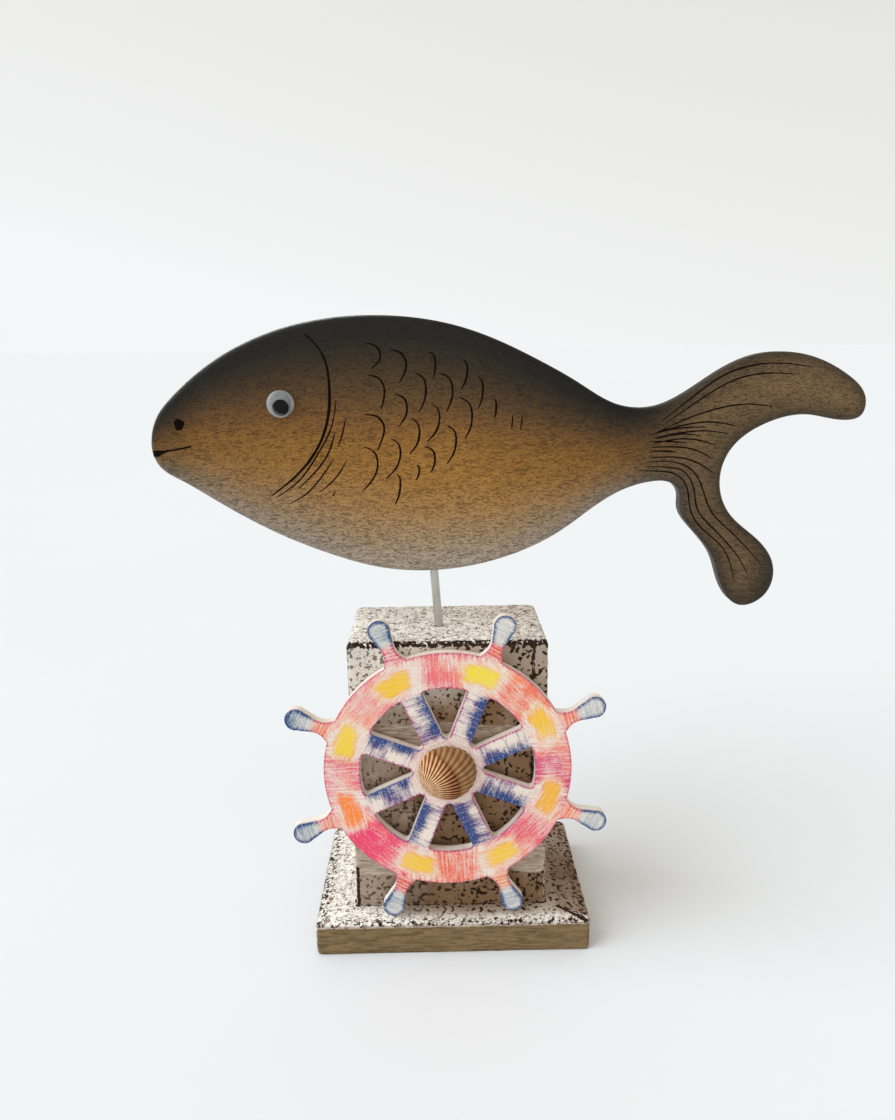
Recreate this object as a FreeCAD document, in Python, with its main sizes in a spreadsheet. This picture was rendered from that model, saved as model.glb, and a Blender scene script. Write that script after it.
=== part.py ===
import FreeCAD, Part
import math
import os

import Sketcher
from FreeCAD import Placement, Rotation, Vector

# A flat wooden fish on a thin metal rod, above a timber post on a bevelled base plate.
# A small ship's wheel with a cockle shell on its hub stands against the front of the post.
# Millimetres. Origin at the centre of the base's underside: +X towards the fish's tail,
# -Y towards the viewer, +Z up.

doc = FreeCAD.newDocument("fish_ornament")

SIZES = {
    # base plate, with a low bevel around its top
    "base_length": 100.0, "base_depth": 70.0, "base_thick": 14.0,
    "bevel_rise": 2.4, "bevel_side_run": 11.0, "bevel_front_run": 6.5,
    # post: planed 45 x 70 timber with eased edges
    "post_width": 70.0, "post_depth": 45.0, "post_height": 102.5, "post_ease": 2.2,
    "post_shift": -0.7, "post_front": 26.0,
    # wood screws that hold the post from below
    "screw_radius": 2.0, "screw_length": 45.0, "screw_head_radius": 4.2, "screw_head_depth": 3.0,
    "screw_spacing": 36.0, "screw_recess": 0.6, "glue_line": 0.05,
    # support rod, leaning a little towards the fish's head
    "rod_radius": 1.5, "rod_length": 60.0, "rod_in_post": 24.0, "rod_lean": 4.0,
    "rod_foot_side": -3.5, "rod_foot_back": -7.6,
    # fish board
    "fish_length": 244.5, "fish_thick": 8.0, "fish_round": 2.0,
    "nose_side": -100.7, "nose_height": 186.0,
    # googly eye
    "eye_radius": 4.5, "eye_side": -55.7, "eye_height": 197.1, "backing_thick": 0.7,
    "dome_height": 2.4, "dome_sag": 1.2, "dome_wall": 0.25,
    "pupil_radius": 2.75, "pupil_thick": 0.5, "pupil_gap": 0.25,
    # ship's wheel
    "wheel_thick": 4.0, "ring_outer": 43.5, "ring_inner": 30.7, "spoke_width": 7.7,
    "spoke_count": 8, "apex_round": 1.5, "corner_round": 1.2,
    "handle_reach": 60.0, "handle_round": 3.85, "neck_half": 2.25, "root_half": 4.4,
    "wheel_shift": -1.2, "wheel_lean": 1.5, "wheel_turn": 1.5,
    # adhesive pad behind the hub, and the cockle shell in front of it
    "pad_radius": 8.0, "shell_half_width": 10.3, "shell_half_height": 9.8,
    "shell_rise": 8.6, "shell_wall": 1.1,
}

sheet = doc.addObject("Spreadsheet::Sheet", "sizes")
for row, (alias, value) in enumerate(SIZES.items(), start=1):
    sheet.set(f"A{row}", alias)
    sheet.set(f"B{row}", str(value))
    sheet.setAlias(f"B{row}", alias)
doc.recompute()

UP = Vector(0, 0, 1)
SIDEWAYS = Vector(1, 0, 0)
FACING_FRONT = Rotation(SIDEWAYS, 90)      # turns a piece's own +Z to the viewer's side, -Y
SPACE = 0.05                               # air left where two glued pieces only just touch


def size(alias):
    """A driving dimension read back from the sheet."""
    return float(sheet.get(alias))


def add(kind, name, placement=None, **bound):
    """A document object whose named properties are bound to expressions on the sheet."""
    made = doc.addObject(kind, name)
    made.Label = name
    for prop, expression in bound.items():
        made.setExpression(prop, expression)
    if placement:
        made.Placement = placement
    return made


def cut(name, base, tool):
    """The base less the tool, as a sub-part of its own name."""
    made = add("Part::Cut", name)
    made.Base = base
    made.Tool = tool
    return made


def joined(kind, name, pieces):
    """A fuse or a compound of several objects."""
    made = add(kind, name)
    if kind == "Part::Compound":
        made.Links = pieces
    else:
        made.Shapes = pieces
    return made


def new_body(name):
    """An empty PartDesign body."""
    return add("PartDesign::Body", name)


def sketch_on(body, role, name):
    """A sketch attached flat to one of its own body's origin planes."""
    plane = next(f for f in body.Origin.OriginFeatures if f.Role == role)
    sketch = body.newObject("Sketcher::SketchObject", name)
    sketch.AttachmentSupport = (plane, [""])
    sketch.MapMode = "FlatFace"
    return sketch


def feature(body, kind, name, profile, **bound):
    """A sketch-based feature of a body, with sizes bound to the sheet."""
    made = body.newObject(kind, name)
    made.Profile = profile
    for prop, expression in bound.items():
        made.setExpression(prop, expression)
    doc.recompute()
    return made


def dress(body, kind, name, edges, **bound):
    """A fillet or chamfer on the body's present tip, on the edges that the test picks."""
    base = body.Tip
    picked = [f"Edge{i}" for i, edge in enumerate(base.Shape.Edges, start=1) if edges(edge)]
    made = body.newObject(kind, name)
    made.Base = (base, picked)
    for prop, expression in bound.items():
        made.setExpression(prop, expression)
    doc.recompute()
    return made


def around(body, original, name):
    """One copy of a feature for each spoke, about its own sketch's normal."""
    made = body.newObject("PartDesign::PolarPattern", name)
    made.Originals = [original]
    made.Axis = (original.Profile[0], ["N_Axis"])
    made.Angle = 360
    made.setExpression("Occurrences", "sizes.spoke_count")
    doc.recompute()
    body.Tip = made
    return made


def centred_rectangle(sketch, width, depth):
    """A rectangle about the sketch's origin, its two sides bound to expressions."""
    corner = (Vector(-20, -10, 0), Vector(20, -10, 0), Vector(20, 10, 0), Vector(-20, 10, 0))
    for i in range(4):
        sketch.addGeometry(Part.LineSegment(corner[i], corner[(i + 1) % 4]), False)
    for i in range(4):
        sketch.addConstraint(Sketcher.Constraint("Coincident", i, 2, (i + 1) % 4, 1))
    for i in (0, 2):
        sketch.addConstraint(Sketcher.Constraint("Horizontal", i))
    for i in (1, 3):
        sketch.addConstraint(Sketcher.Constraint("Vertical", i))
    sketch.addConstraint(Sketcher.Constraint("Symmetric", 0, 1, 1, 2, -1, 1))
    across = sketch.addConstraint(Sketcher.Constraint("DistanceX", 0, 1, 0, 2, 40.0))
    along = sketch.addConstraint(Sketcher.Constraint("DistanceY", 1, 1, 1, 2, 20.0))
    sketch.setExpression(f"Constraints[{across}]", width)
    sketch.setExpression(f"Constraints[{along}]", depth)


def level(edge, axis, value):
    """True where both ends of an edge have the given coordinate."""
    return all(abs(getattr(v.Point, axis) - value) < 1e-4 for v in edge.Vertexes)


# ---------------------------------------------------------------- heights and places

base_top = size("base_thick")
post_top = base_top + size("post_height")
post_face = -size("post_front")
post_middle = post_face + size("post_depth") / 2

rod_axis = Rotation(Vector(0, 1, 0), -size("rod_lean"))
rod_start = Vector(size("rod_foot_side"), size("rod_foot_back"), post_top)
rod_start -= rod_axis.multVec(UP) * size("rod_in_post")
rod_place = Placement(rod_start, rod_axis)

fish_front = size("rod_foot_back") - size("fish_thick") / 2

# The wheel leans back until its ring meets the post's front edge, and its lowest handle
# stands on the base's top.
wheel_lean = math.radians(size("wheel_lean"))
lowest_handle = math.radians(90 - 180 / size("spoke_count") + size("wheel_turn"))
ball_centre = size("handle_reach") - size("handle_round")
drop = ball_centre * math.sin(lowest_handle) * math.cos(wheel_lean) + size("handle_round")
wheel_height = base_top + drop + SPACE
touch_height = post_top - size("post_ease")
wheel_back = post_face - (touch_height - wheel_height) * math.tan(wheel_lean) - SPACE
wheel_centre = Vector(size("wheel_shift"), wheel_back, wheel_height)
wheel_place = Placement(wheel_centre, Rotation(SIDEWAYS, 90 - size("wheel_lean")))
wheel_normal = wheel_place.Rotation.multVec(UP)
hub_face = wheel_centre + wheel_normal * (size("wheel_thick") + SPACE)

screw_sides = (-0.5, 0.5)


# ---------------------------------------------------------------- base plate and post

def screw_stack(name, side, spare):
    """One countersunk screw: a cone head under a plain shank. Spare makes its hole."""
    x = size("post_shift") + side * size("screw_spacing")
    foot = Vector(x, post_middle, size("screw_recess"))
    head = add("Part::Cone", name + "_head", Placement(foot, Rotation()),
               Radius1=f"sizes.screw_head_radius + {spare}",
               Radius2=f"sizes.screw_radius + {spare}", Height="sizes.screw_head_depth")
    shank = add("Part::Cylinder", name + "_shank", Placement(foot, Rotation()),
                Radius=f"sizes.screw_radius + {spare}", Height=f"sizes.screw_length + 4 * {spare}")
    pieces = [head, shank]
    if spare:
        # the sink that leaves the head a little below the underside
        mouth = Placement(Vector(x, post_middle, -1), Rotation())
        pieces.append(add("Part::Cylinder", name + "_sink", mouth,
                          Radius=f"sizes.screw_head_radius + {spare}",
                          Height="sizes.screw_recess + 1"))
    return joined("Part::MultiFuse", name, pieces)


def screw_holes(name):
    """The cutter for both screws' holes."""
    spare = size("glue_line")
    return joined("Part::MultiFuse", name,
                  [screw_stack(f"{name}_{i}", side, spare) for i, side in enumerate(screw_sides)])


def rod_bore(name):
    """The rod's own shape with a glue line around it and past both ends."""
    place = Placement(rod_start - rod_axis.multVec(UP) * SPACE, rod_axis)
    return add("Part::Cylinder", name, place, Radius="sizes.rod_radius + sizes.glue_line",
               Height="sizes.rod_length + 2 * sizes.glue_line")


def make_base_plate():
    """A rectangular plate with two pairs of low bevels that meet at the corners."""
    body = new_body("base_blank")
    outline = sketch_on(body, "XY_Plane", "base_outline")
    centred_rectangle(outline, "sizes.base_length", "sizes.base_depth")
    feature(body, "PartDesign::Pad", "base_pad", outline, Length="sizes.base_thick")
    half = {"x": size("base_length") / 2, "y": size("base_depth") / 2}
    runs = {"y": "sizes.bevel_front_run", "x": "sizes.bevel_side_run"}
    for axis, run in runs.items():
        across = 1 if axis == "y" else 0

        def top_edge(edge, axis=axis, across=across):
            middle = edge.CenterOfMass
            outermost = abs(abs(middle[across]) - half[axis]) < 1e-4
            return outermost and abs(middle.z - base_top) < 1e-4

        # The cutting wedge runs along the edge, so it is a chamfer with two distances.
        bevel = dress(body, "PartDesign::Chamfer", f"bevel_{axis}", top_edge)
        bevel.ChamferType = "Two distances"
        bevel.setExpression("Size", "sizes.bevel_rise")
        bevel.setExpression("Size2", run)
        doc.recompute()
    return cut("base_plate", body, screw_holes("base_holes"))


def make_post():
    """A timber block with eased long edges and top edges, bored for the screws and rod."""
    body = new_body("post_blank")
    outline = sketch_on(body, "XY_Plane", "post_outline")
    centred_rectangle(outline, "sizes.post_width", "sizes.post_depth")
    feature(body, "PartDesign::Pad", "post_pad", outline, Length="sizes.post_height")
    dress(body, "PartDesign::Fillet", "eased_edges",
          lambda edge: not level(edge, "z", 0), Radius="sizes.post_ease")
    body.Placement = Placement(Vector(size("post_shift"), post_middle, base_top), Rotation())
    bores = joined("Part::MultiFuse", "post_bores", [screw_holes("post_holes"), rod_bore("rod_bore")])
    return cut("post", body, bores)


def make_screws():
    """Both screws, as one group of separate solids."""
    return joined("Part::Compound", "post_screws",
                  [screw_stack(f"screw_{i}", side, 0) for i, side in enumerate(screw_sides)])


# ---------------------------------------------------------------- rod and fish

# The fish's outline, clockwise from the nose: (along, up) in millimetres on a board
# 244.5 long. One smooth closed curve runs through the points.
BACK = [(0, 0), (3, 8.1), (7.6, 13.4), (20.7, 24.1), (42.6, 34.7), (67.2, 39.4), (79.5, 39.6),
        (94.4, 38.2), (107, 35.3), (119.1, 30.8), (132.3, 24.4), (146, 16.7), (158.8, 9.5),
        (171.5, 8.2)]
UPPER_LOBE = [(190.9, 18.2), (205.1, 25.1), (222.7, 25.2), (237.9, 18.1), (244.5, 9.8),
              (243.2, 4.3), (238.3, 2.9), (225.5, 4.9)]
FORK = [(210.8, 2.2), (198.6, -7.4), (196, -18.7), (200, -29.1)]
LOWER_LOBE = [(211.8, -39.8), (216.9, -48.3), (214.3, -59.4), (205.4, -62.8), (199.1, -56.5),
              (194.9, -45), (186.1, -33.7), (182.2, -27), (181.9, -21.9), (179.8, -18.7)]
BELLY = [(171.6, -17.5), (157.7, -22.4), (140.8, -34.3), (120.3, -43.8), (95, -48.1),
         (74.8, -46.3), (59.7, -41.7), (44.2, -35.3), (31.6, -28.7), (18, -20.3), (9, -14.7),
         (2.8, -10.6), (0.4, -6.6)]
DRAWN_LENGTH = 244.5


def make_rod():
    """A plain round rod."""
    return add("Part::Cylinder", "support_rod", rod_place,
               Radius="sizes.rod_radius", Height="sizes.rod_length")


def fish_stretches(grow):
    """The closed outline through all points, divided where one named stretch meets the next."""
    stretches = (BACK, UPPER_LOBE, FORK, LOWER_LOBE, BELLY)
    points = [Vector(along * grow, up * grow, 0) for stretch in stretches for along, up in stretch]
    whole = Part.BSplineCurve()
    whole.interpolate(Points=points, PeriodicFlag=True)
    joints = [whole.parameter(Vector(stretch[0][0] * grow, stretch[0][1] * grow, 0))
              for stretch in stretches[1:]]
    joints = [whole.FirstParameter, *joints, whole.LastParameter]
    pieces = []
    for start, end in zip(joints, joints[1:]):
        piece = whole.copy()
        piece.segment(start, end)
        pieces.append(piece)
    return pieces


def make_fish():
    """The fish sawn from board: its outline padded to both sides and rounded over."""
    body = new_body("fish_blank")
    outline = sketch_on(body, "XY_Plane", "fish_outline")
    for piece in fish_stretches(size("fish_length") / DRAWN_LENGTH):
        outline.addGeometry(piece, False)
    pad = feature(body, "PartDesign::Pad", "fish_pad", outline, Length="sizes.fish_thick")
    pad.Midplane = True
    doc.recompute()
    dress(body, "PartDesign::Fillet", "round_over",
          lambda edge: edge.Length > size("fish_thick") + 1, Radius="sizes.fish_round")
    nose = Vector(size("nose_side"), size("rod_foot_back"), size("nose_height"))
    body.Placement = Placement(nose, FACING_FRONT)
    return cut("fish_body", body, rod_bore("fish_bore"))


# ---------------------------------------------------------------- googly eye

def eye_place(lift, drop_down=0.0):
    """A place on the eye's axis, lifted off the fish's front face."""
    return Placement(Vector(size("eye_side"), fish_front - lift, size("eye_height") - drop_down),
                     FACING_FRONT)


def lens(name, inset, top, sag):
    """A short cylinder under a spherical cap: the common part of a cylinder and a ball."""
    start = size("backing_thick") + SPACE
    radius = f"(sizes.eye_radius - {inset})"
    drum = add("Part::Cylinder", name + "_drum", eye_place(start), Radius=radius, Height=top)
    ball = add("Part::Sphere", name + "_ball", Radius=f"({radius}^2 + ({sag})^2) / (2 * ({sag}))")
    doc.recompute()
    ball.Placement = eye_place(start + drum.Height.Value - ball.Radius.Value)
    both = add("Part::MultiCommon", name)
    both.Shapes = [drum, ball]
    return both


def make_eye():
    """Backing disc, clear hollow dome, and the loose pupil lying low inside it."""
    backing = add("Part::Cylinder", "eye_backing", eye_place(SPACE),
                  Radius="sizes.eye_radius", Height=f"sizes.backing_thick - {SPACE}")
    outside = lens("dome_outside", "0", "sizes.dome_height", "sizes.dome_sag")
    inside = lens("dome_inside", "sizes.dome_wall", "sizes.dome_height - sizes.dome_wall",
                  "sizes.dome_sag - sizes.dome_wall / 2")
    dome = cut("eye_dome", outside, inside)
    hang = size("eye_radius") - size("dome_wall") - size("pupil_radius") - size("pupil_gap")
    pupil = add("Part::Cylinder", "eye_pupil",
                eye_place(size("backing_thick") + size("pupil_gap"), hang),
                Radius="sizes.pupil_radius", Height="sizes.pupil_thick")
    return [backing, dome, pupil]


# ---------------------------------------------------------------- ship's wheel

def circle_pad(body, name, radius, height):
    """A disc about the body's own axis."""
    outline = sketch_on(body, "XY_Plane", name + "_outline")
    outline.addGeometry(Part.Circle(Vector(), UP, 10), False)
    outline.addConstraint(Sketcher.Constraint("Coincident", 0, 3, -1, 1))
    bound = outline.addConstraint(Sketcher.Constraint("Radius", 0, 10.0))
    outline.setExpression(f"Constraints[{bound}]", radius)
    return feature(body, "PartDesign::Pad", name, outline, Length=height)


def opening_outline(sketch):
    """One gap between two spokes: straight sides, the ring's arc, and rounded corners."""
    half_step = math.pi / size("spoke_count")
    half_spoke = size("spoke_width") / 2
    inner, apex, corner = size("ring_inner"), size("apex_round"), size("corner_round")
    # unit vectors along the upper spoke and from it into the gap
    along = Vector(math.cos(half_step), math.sin(half_step), 0)
    inward = Vector(math.sin(half_step), -math.cos(half_step), 0)
    reach = math.sqrt((inner - corner) ** 2 - (half_spoke + corner) ** 2)
    corner_middle = along * reach + inward * (half_spoke + corner)
    apex_middle = Vector((half_spoke + apex) / math.sin(half_step), 0, 0)
    side_start = apex_middle - inward * apex
    side_end = corner_middle - inward * corner
    ring_start = corner_middle * (inner / corner_middle.Length)
    bend = (ring_start - corner_middle + side_end - corner_middle).normalize()
    corner_bend = corner_middle + bend * corner

    def low(point):
        return Vector(point.x, -point.y, 0)

    tip = apex_middle - Vector(apex, 0, 0)
    for piece in (
        Part.Arc(low(side_start), tip, side_start),
        Part.LineSegment(side_start, side_end),
        Part.Arc(side_end, corner_bend, ring_start),
        Part.Arc(ring_start, Vector(inner, 0, 0), low(ring_start)),
        Part.Arc(low(ring_start), low(corner_bend), low(side_end)),
        Part.LineSegment(low(side_end), low(side_start)),
    ):
        sketch.addGeometry(piece, False)


# A handle's profile from its root to its neck: distance out from the ring's edge, which half
# width it is measured from, and how much is added to that half width.
HANDLE_SIDE = (
    (-1.5, "root_half", 0.6),
    (0.9, "root_half", -0.9),
    (3.0, "neck_half", 0.2),
    (5.6, "neck_half", 0.0),
    (8.6, "neck_half", 0.7),
)
KNOB_SWEEP = 118                           # degrees of round knob on each side of its tip


def handle_outline(sketch):
    """A turned-looking handle: flared root, thin neck, and a round knob at the end."""
    ring, knob = size("ring_outer"), size("handle_round")
    centre = Vector(ball_centre, 0, 0)
    leave = math.radians(KNOB_SWEEP)
    knob_side = centre + Vector(math.cos(leave), math.sin(leave), 0) * knob
    side = [Vector(ring + out, size(half) + extra, 0) for out, half, extra in HANDLE_SIDE]
    start = side[0]
    side.append(knob_side)
    upper = Part.BSplineCurve()
    upper.interpolate(side)
    lower = Part.BSplineCurve()
    lower.interpolate([Vector(p.x, -p.y, 0) for p in reversed(side)])
    sketch.addGeometry(upper, False)
    tip = centre + Vector(knob, 0, 0)
    sketch.addGeometry(Part.Arc(knob_side, tip, Vector(knob_side.x, -knob_side.y, 0)), False)
    sketch.addGeometry(lower, False)
    sketch.addGeometry(Part.LineSegment(Vector(start.x, -start.y, 0), start), False)


def make_wheel():
    """A disc with a gap cut between each two spokes and a handle added beyond each."""
    body = new_body("ships_wheel")
    disc = circle_pad(body, "wheel_disc", "sizes.ring_outer", "sizes.wheel_thick")
    gap_sketch = sketch_on(body, "XY_Plane", "gap_outline")
    opening_outline(gap_sketch)
    gap = feature(body, "PartDesign::Pocket", "gap", gap_sketch, Length="sizes.wheel_thick")
    gap.Reversed = True
    doc.recompute()
    if gap.Shape.Volume >= disc.Shape.Volume:
        raise ValueError("the gap cuts nothing")
    around(body, gap, "gaps")
    handle_sketch = sketch_on(body, "XY_Plane", "handle_outline")
    handle_outline(handle_sketch)
    handle_sketch.AttachmentOffset = Placement(
        Vector(), Rotation(UP, 180 / size("spoke_count")))
    handle = feature(body, "PartDesign::Pad", "handle", handle_sketch, Length="sizes.wheel_thick")
    around(body, handle, "handles")
    turned = Placement(Vector(), Rotation(UP, size("wheel_turn")))
    body.Placement = wheel_place.multiply(turned)
    return body


def make_wheel_glue():
    """The pad that fills the wedge between the hub's back and the post's face."""
    away = Placement(wheel_centre - wheel_normal * (size("pad_radius") / 2), wheel_place.Rotation)
    plug = add("Part::Cylinder", "glue_plug", away,
               Radius="sizes.pad_radius", Height="sizes.pad_radius / 2")
    block = add("Part::Box", "post_space", Length="sizes.base_length", Width="sizes.post_depth",
                Height="sizes.base_length")
    block.Placement = Placement(Vector(-size("base_length") / 2, post_face, base_top), Rotation())
    return cut("wheel_glue", plug, block)


def half_egg(name, inset):
    """The front half of an ellipsoid that sits flat on the hub."""
    return add("Part::Ellipsoid", name, Placement(hub_face, wheel_place.Rotation),
               Radius1=f"sizes.shell_rise - {inset}", Radius2=f"sizes.shell_half_width - {inset}",
               Radius3=f"sizes.shell_half_height - {inset}", Angle1="0")


def make_shell():
    """One hollow valve, and the adhesive that fills it."""
    valve = cut("cockle_shell", half_egg("valve_outside", "0"),
                half_egg("valve_inside", "sizes.shell_wall"))
    filling = half_egg("shell_glue", "(sizes.shell_wall + sizes.glue_line)")
    return [valve, filling]


# ---------------------------------------------------------------- build, check, write

sub_parts = [make_base_plate(), make_post(), make_screws(), make_rod(), make_fish(), *make_eye(),
             make_wheel(), make_wheel_glue(), *make_shell()]
doc.recompute()

for made in doc.Objects:
    if {"Invalid", "Error"} & set(made.State):
        raise ValueError(f"{made.Label} failed: {made.State}")

os.makedirs("parts", exist_ok=True)
for made in sub_parts:
    if made.Shape.isNull() or not made.Shape.isValid():
        raise ValueError(f"{made.Label} has a bad shape")
    made.Shape.exportStep(f"parts/{made.Label}.step")
    box = made.Shape.BoundBox
    print(f"{made.Label:14s} {made.Shape.Volume:10.1f} mm3  solids {len(made.Shape.Solids)}  "
          f"X {box.XMin:7.2f} {box.XMax:7.2f}  Y {box.YMin:7.2f} {box.YMax:7.2f}  "
          f"Z {box.ZMin:7.2f} {box.ZMax:7.2f}")
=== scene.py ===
"""Looks for a painted fish ornament: a fish board on a rod, a timber stand and a crayoned ship's wheel.

Lengths are millimetres until a mesh is made, which is in metres.
"""

import logging
import math
from dataclasses import dataclass, field
from enum import Enum
from typing import Any, Sequence

import bmesh
import bpy
import numpy as np
from mathutils import Matrix, Vector
from mathutils.geometry import delaunay_2d_cdt


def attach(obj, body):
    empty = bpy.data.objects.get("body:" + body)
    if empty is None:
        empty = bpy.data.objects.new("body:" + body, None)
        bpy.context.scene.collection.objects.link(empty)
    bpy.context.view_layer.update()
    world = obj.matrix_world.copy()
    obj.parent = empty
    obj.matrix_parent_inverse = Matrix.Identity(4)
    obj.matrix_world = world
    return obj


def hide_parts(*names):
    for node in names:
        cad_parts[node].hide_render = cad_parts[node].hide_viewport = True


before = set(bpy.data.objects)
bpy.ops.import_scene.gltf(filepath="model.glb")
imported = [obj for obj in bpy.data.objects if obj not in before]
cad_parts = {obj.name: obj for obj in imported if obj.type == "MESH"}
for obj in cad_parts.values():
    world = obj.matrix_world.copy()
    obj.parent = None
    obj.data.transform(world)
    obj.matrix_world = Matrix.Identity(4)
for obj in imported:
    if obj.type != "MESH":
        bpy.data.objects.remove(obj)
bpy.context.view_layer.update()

LOG = logging.getLogger("fish_ornament")
MM = 0.001
PER_MM = 1000.0


class Body(Enum):
    """The two bodies of the frame that a piece can ride on."""

    ORNAMENT = "ornament"
    PUPIL = "pupil"


class Wood(Enum):
    """What a patch of the stand's surface shows."""

    LIGHT = "paint_cover_and_painted_light"
    BARE = "bare_wood"
    DASHES = "crackle_rows"
    DIRT_AND_SHADE = "dirt_and_painted_shade"


# ---------------------------------------------------------------- numbers over whole arrays


def smoothstep(low: float, high: float, value: np.ndarray) -> np.ndarray:
    """Eases from 0 at low to 1 at high: 3t^2 - 2t^3 of the clipped fraction t.

    Args:
        low: where the result leaves 0.
        high: where the result reaches 1.
        value: the numbers to ease.

    Returns:
        The eased numbers.
    """
    t = np.clip((value - low) / (high - low), 0.0, 1.0)
    return t * t * (3.0 - 2.0 * t)


def bump_at(value: np.ndarray, middle: float, half: float, soft: float) -> np.ndarray:
    """A plateau of 1 round a middle value, eased down to 0 outside.

    Args:
        value: the numbers to judge.
        middle: the plateau's middle.
        half: half of its width.
        soft: the width of each eased side.

    Returns:
        Numbers from 0 to 1.
    """
    return 1.0 - smoothstep(half, half + soft, np.abs(value - middle))


def hashed(cells: np.ndarray, seed: int) -> np.ndarray:
    """A repeatable number from 0 to 1 for each whole-number cell, by mixing its indices' bits.

    Args:
        cells: whole numbers, three in the last axis.
        seed: another seed gives other numbers.

    Returns:
        One number for each cell.
    """
    mixed = cells[..., 0] * 374761393 + cells[..., 1] * 668265263
    mixed = (mixed + cells[..., 2] * 1274126177 + seed * 974634777) & 0xFFFFFFFF
    mixed = ((mixed ^ (mixed >> 13)) * 1103515245) & 0xFFFFFFFF
    return ((mixed ^ (mixed >> 16)) & 0xFFFFFF) / float(0xFFFFFF)


def cloud(points: np.ndarray, size: float | Sequence[float], seed: int, layers: int = 2) -> np.ndarray:
    """Smooth noise: hashed numbers at lattice corners, blended across each cell, in halving layers.

    Args:
        points: places, with three coordinates.
        size: the width of the largest lattice cell, one number or one for each axis.
        seed: another seed gives another pattern.
        layers: how many layers, each half as large and half as strong.

    Returns:
        Numbers from about -1 to 1.
    """
    total = np.zeros(points.shape[:-1])
    strength = 0.0
    for layer in range(layers):
        place = points / (np.asarray(size, float) / 2**layer)
        cell = np.floor(place).astype(np.int64)
        part = place - cell
        part = part * part * (3.0 - 2.0 * part)
        value = np.zeros(points.shape[:-1])
        for corner in range(8):
            shift = np.array([corner & 1, corner >> 1 & 1, corner >> 2 & 1])
            share = np.prod(np.where(shift == 1, part, 1.0 - part), axis=-1)
            value += share * hashed(cell + shift, seed + layer * 31)
        total += (2.0 * value - 1.0) * 0.5**layer
        strength += 0.5**layer
    return total / strength


def even_along(points: np.ndarray, count: int, closed: bool) -> np.ndarray:
    """Spaces points evenly along a line by arc length.

    Args:
        points: the line's points.
        count: how many points to give back.
        closed: True where the last point joins the first.

    Returns:
        The evenly spaced points.
    """
    line = np.vstack([points, points[:1]]) if closed else points
    run = np.concatenate([[0.0], np.cumsum(np.linalg.norm(np.diff(line, axis=0), axis=1))])
    wanted = np.linspace(0.0, run[-1], count + 1)[:-1] if closed else np.linspace(0.0, run[-1], count)
    return np.column_stack([np.interp(wanted, run, line[:, axis]) for axis in range(line.shape[1])])


def spline(knots: Sequence[Sequence[float]], count: int, closed: bool) -> np.ndarray:
    """A smooth cubic through knots, with the chord length as parameter.

    The second derivatives at the knots solve one linear system, cyclic where the curve is closed
    and zero at the ends where it is open.

    Args:
        knots: the points that it passes through.
        count: how many points to give back, evenly along it.
        closed: True for a loop.

    Returns:
        The points along the curve.
    """
    knot = np.asarray(knots, float)
    total = len(knot)
    after = np.roll(knot, -1, axis=0)
    chord = np.linalg.norm(after - knot, axis=1)
    before = np.roll(chord, 1)
    here = np.arange(total)
    system = np.zeros((total, total))
    system[here, here] = 2.0 * (before + chord)
    system[here, here - 1] += before
    system[here, (here + 1) % total] += chord
    slope = (after - knot) / chord[:, None]
    wanted = 6.0 * (slope - np.roll(slope, 1, axis=0))
    if not closed:
        system[[0, -1]] = 0.0
        system[0, 0] = system[-1, -1] = 1.0
        wanted[[0, -1]] = 0.0
    bend = np.linalg.solve(system, wanted)
    bend_after = np.roll(bend, -1, axis=0)
    spans = total if closed else total - 1
    t = np.linspace(0.0, 1.0, 24, endpoint=False)[None, :, None]
    h = chord[:spans, None, None]
    start, end = knot[:spans, None], after[:spans, None]
    m0, m1 = bend[:spans, None], bend_after[:spans, None]
    curve = start * (1 - t) + end * t
    curve = curve + h**2 / 6.0 * (((1 - t) ** 3 - (1 - t)) * m0 + (t**3 - t) * m1)
    curve = curve.reshape(-1, knot.shape[1])
    if not closed:
        curve = np.vstack([curve, knot[-1:]])
    return even_along(curve, count, closed)


def arc(middle: Sequence[float], radius: float, start: float, end: float, count: int) -> np.ndarray:
    """Points along a circular arc, from one angle in degrees to another.

    Args:
        middle: the arc's centre.
        radius: its radius.
        start: the first angle.
        end: the last angle.
        count: how many points.

    Returns:
        The points, two coordinates each.
    """
    turn = np.radians(np.linspace(start, end, count))
    return np.asarray(middle, float) + radius * np.column_stack([np.cos(turn), np.sin(turn)])


def spun(points: np.ndarray, degrees: float) -> np.ndarray:
    """Flat points turned about the origin by an angle in degrees."""
    c, s = math.cos(math.radians(degrees)), math.sin(math.radians(degrees))
    return points @ np.array([[c, s], [-s, c]])


def outward(loop: np.ndarray) -> np.ndarray:
    """Unit normals of a loop that point out of the material: the tangent turned by a right angle."""
    tangent = np.roll(loop, -1, axis=0) - np.roll(loop, 1, axis=0)
    normal = np.column_stack([tangent[:, 1], -tangent[:, 0]])
    return normal / np.linalg.norm(normal, axis=1, keepdims=True)


def inside(points: np.ndarray, loops: Sequence[np.ndarray]) -> np.ndarray:
    """Which points lie inside an odd number of loops, by counting edges crossed towards +x.

    Args:
        points: flat points.
        loops: closed loops.

    Returns:
        True for each point inside.
    """
    start = np.concatenate(loops)
    end = np.concatenate([np.roll(loop, -1, axis=0) for loop in loops])
    run = end - start
    rise = np.where(np.abs(run[:, 1]) < 1e-12, 1e-12, run[:, 1])
    answers = []
    for part in np.array_split(points, max(1, len(points) // 4000)):
        y = part[:, 1:2]
        spans = (start[:, 1] > y) != (end[:, 1] > y)
        crossing = start[:, 0] + (y - start[:, 1]) * run[:, 0] / rise
        answers.append(np.sum(spans & (part[:, 0:1] < crossing), axis=1) % 2 == 1)
    return np.concatenate(answers)


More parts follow.
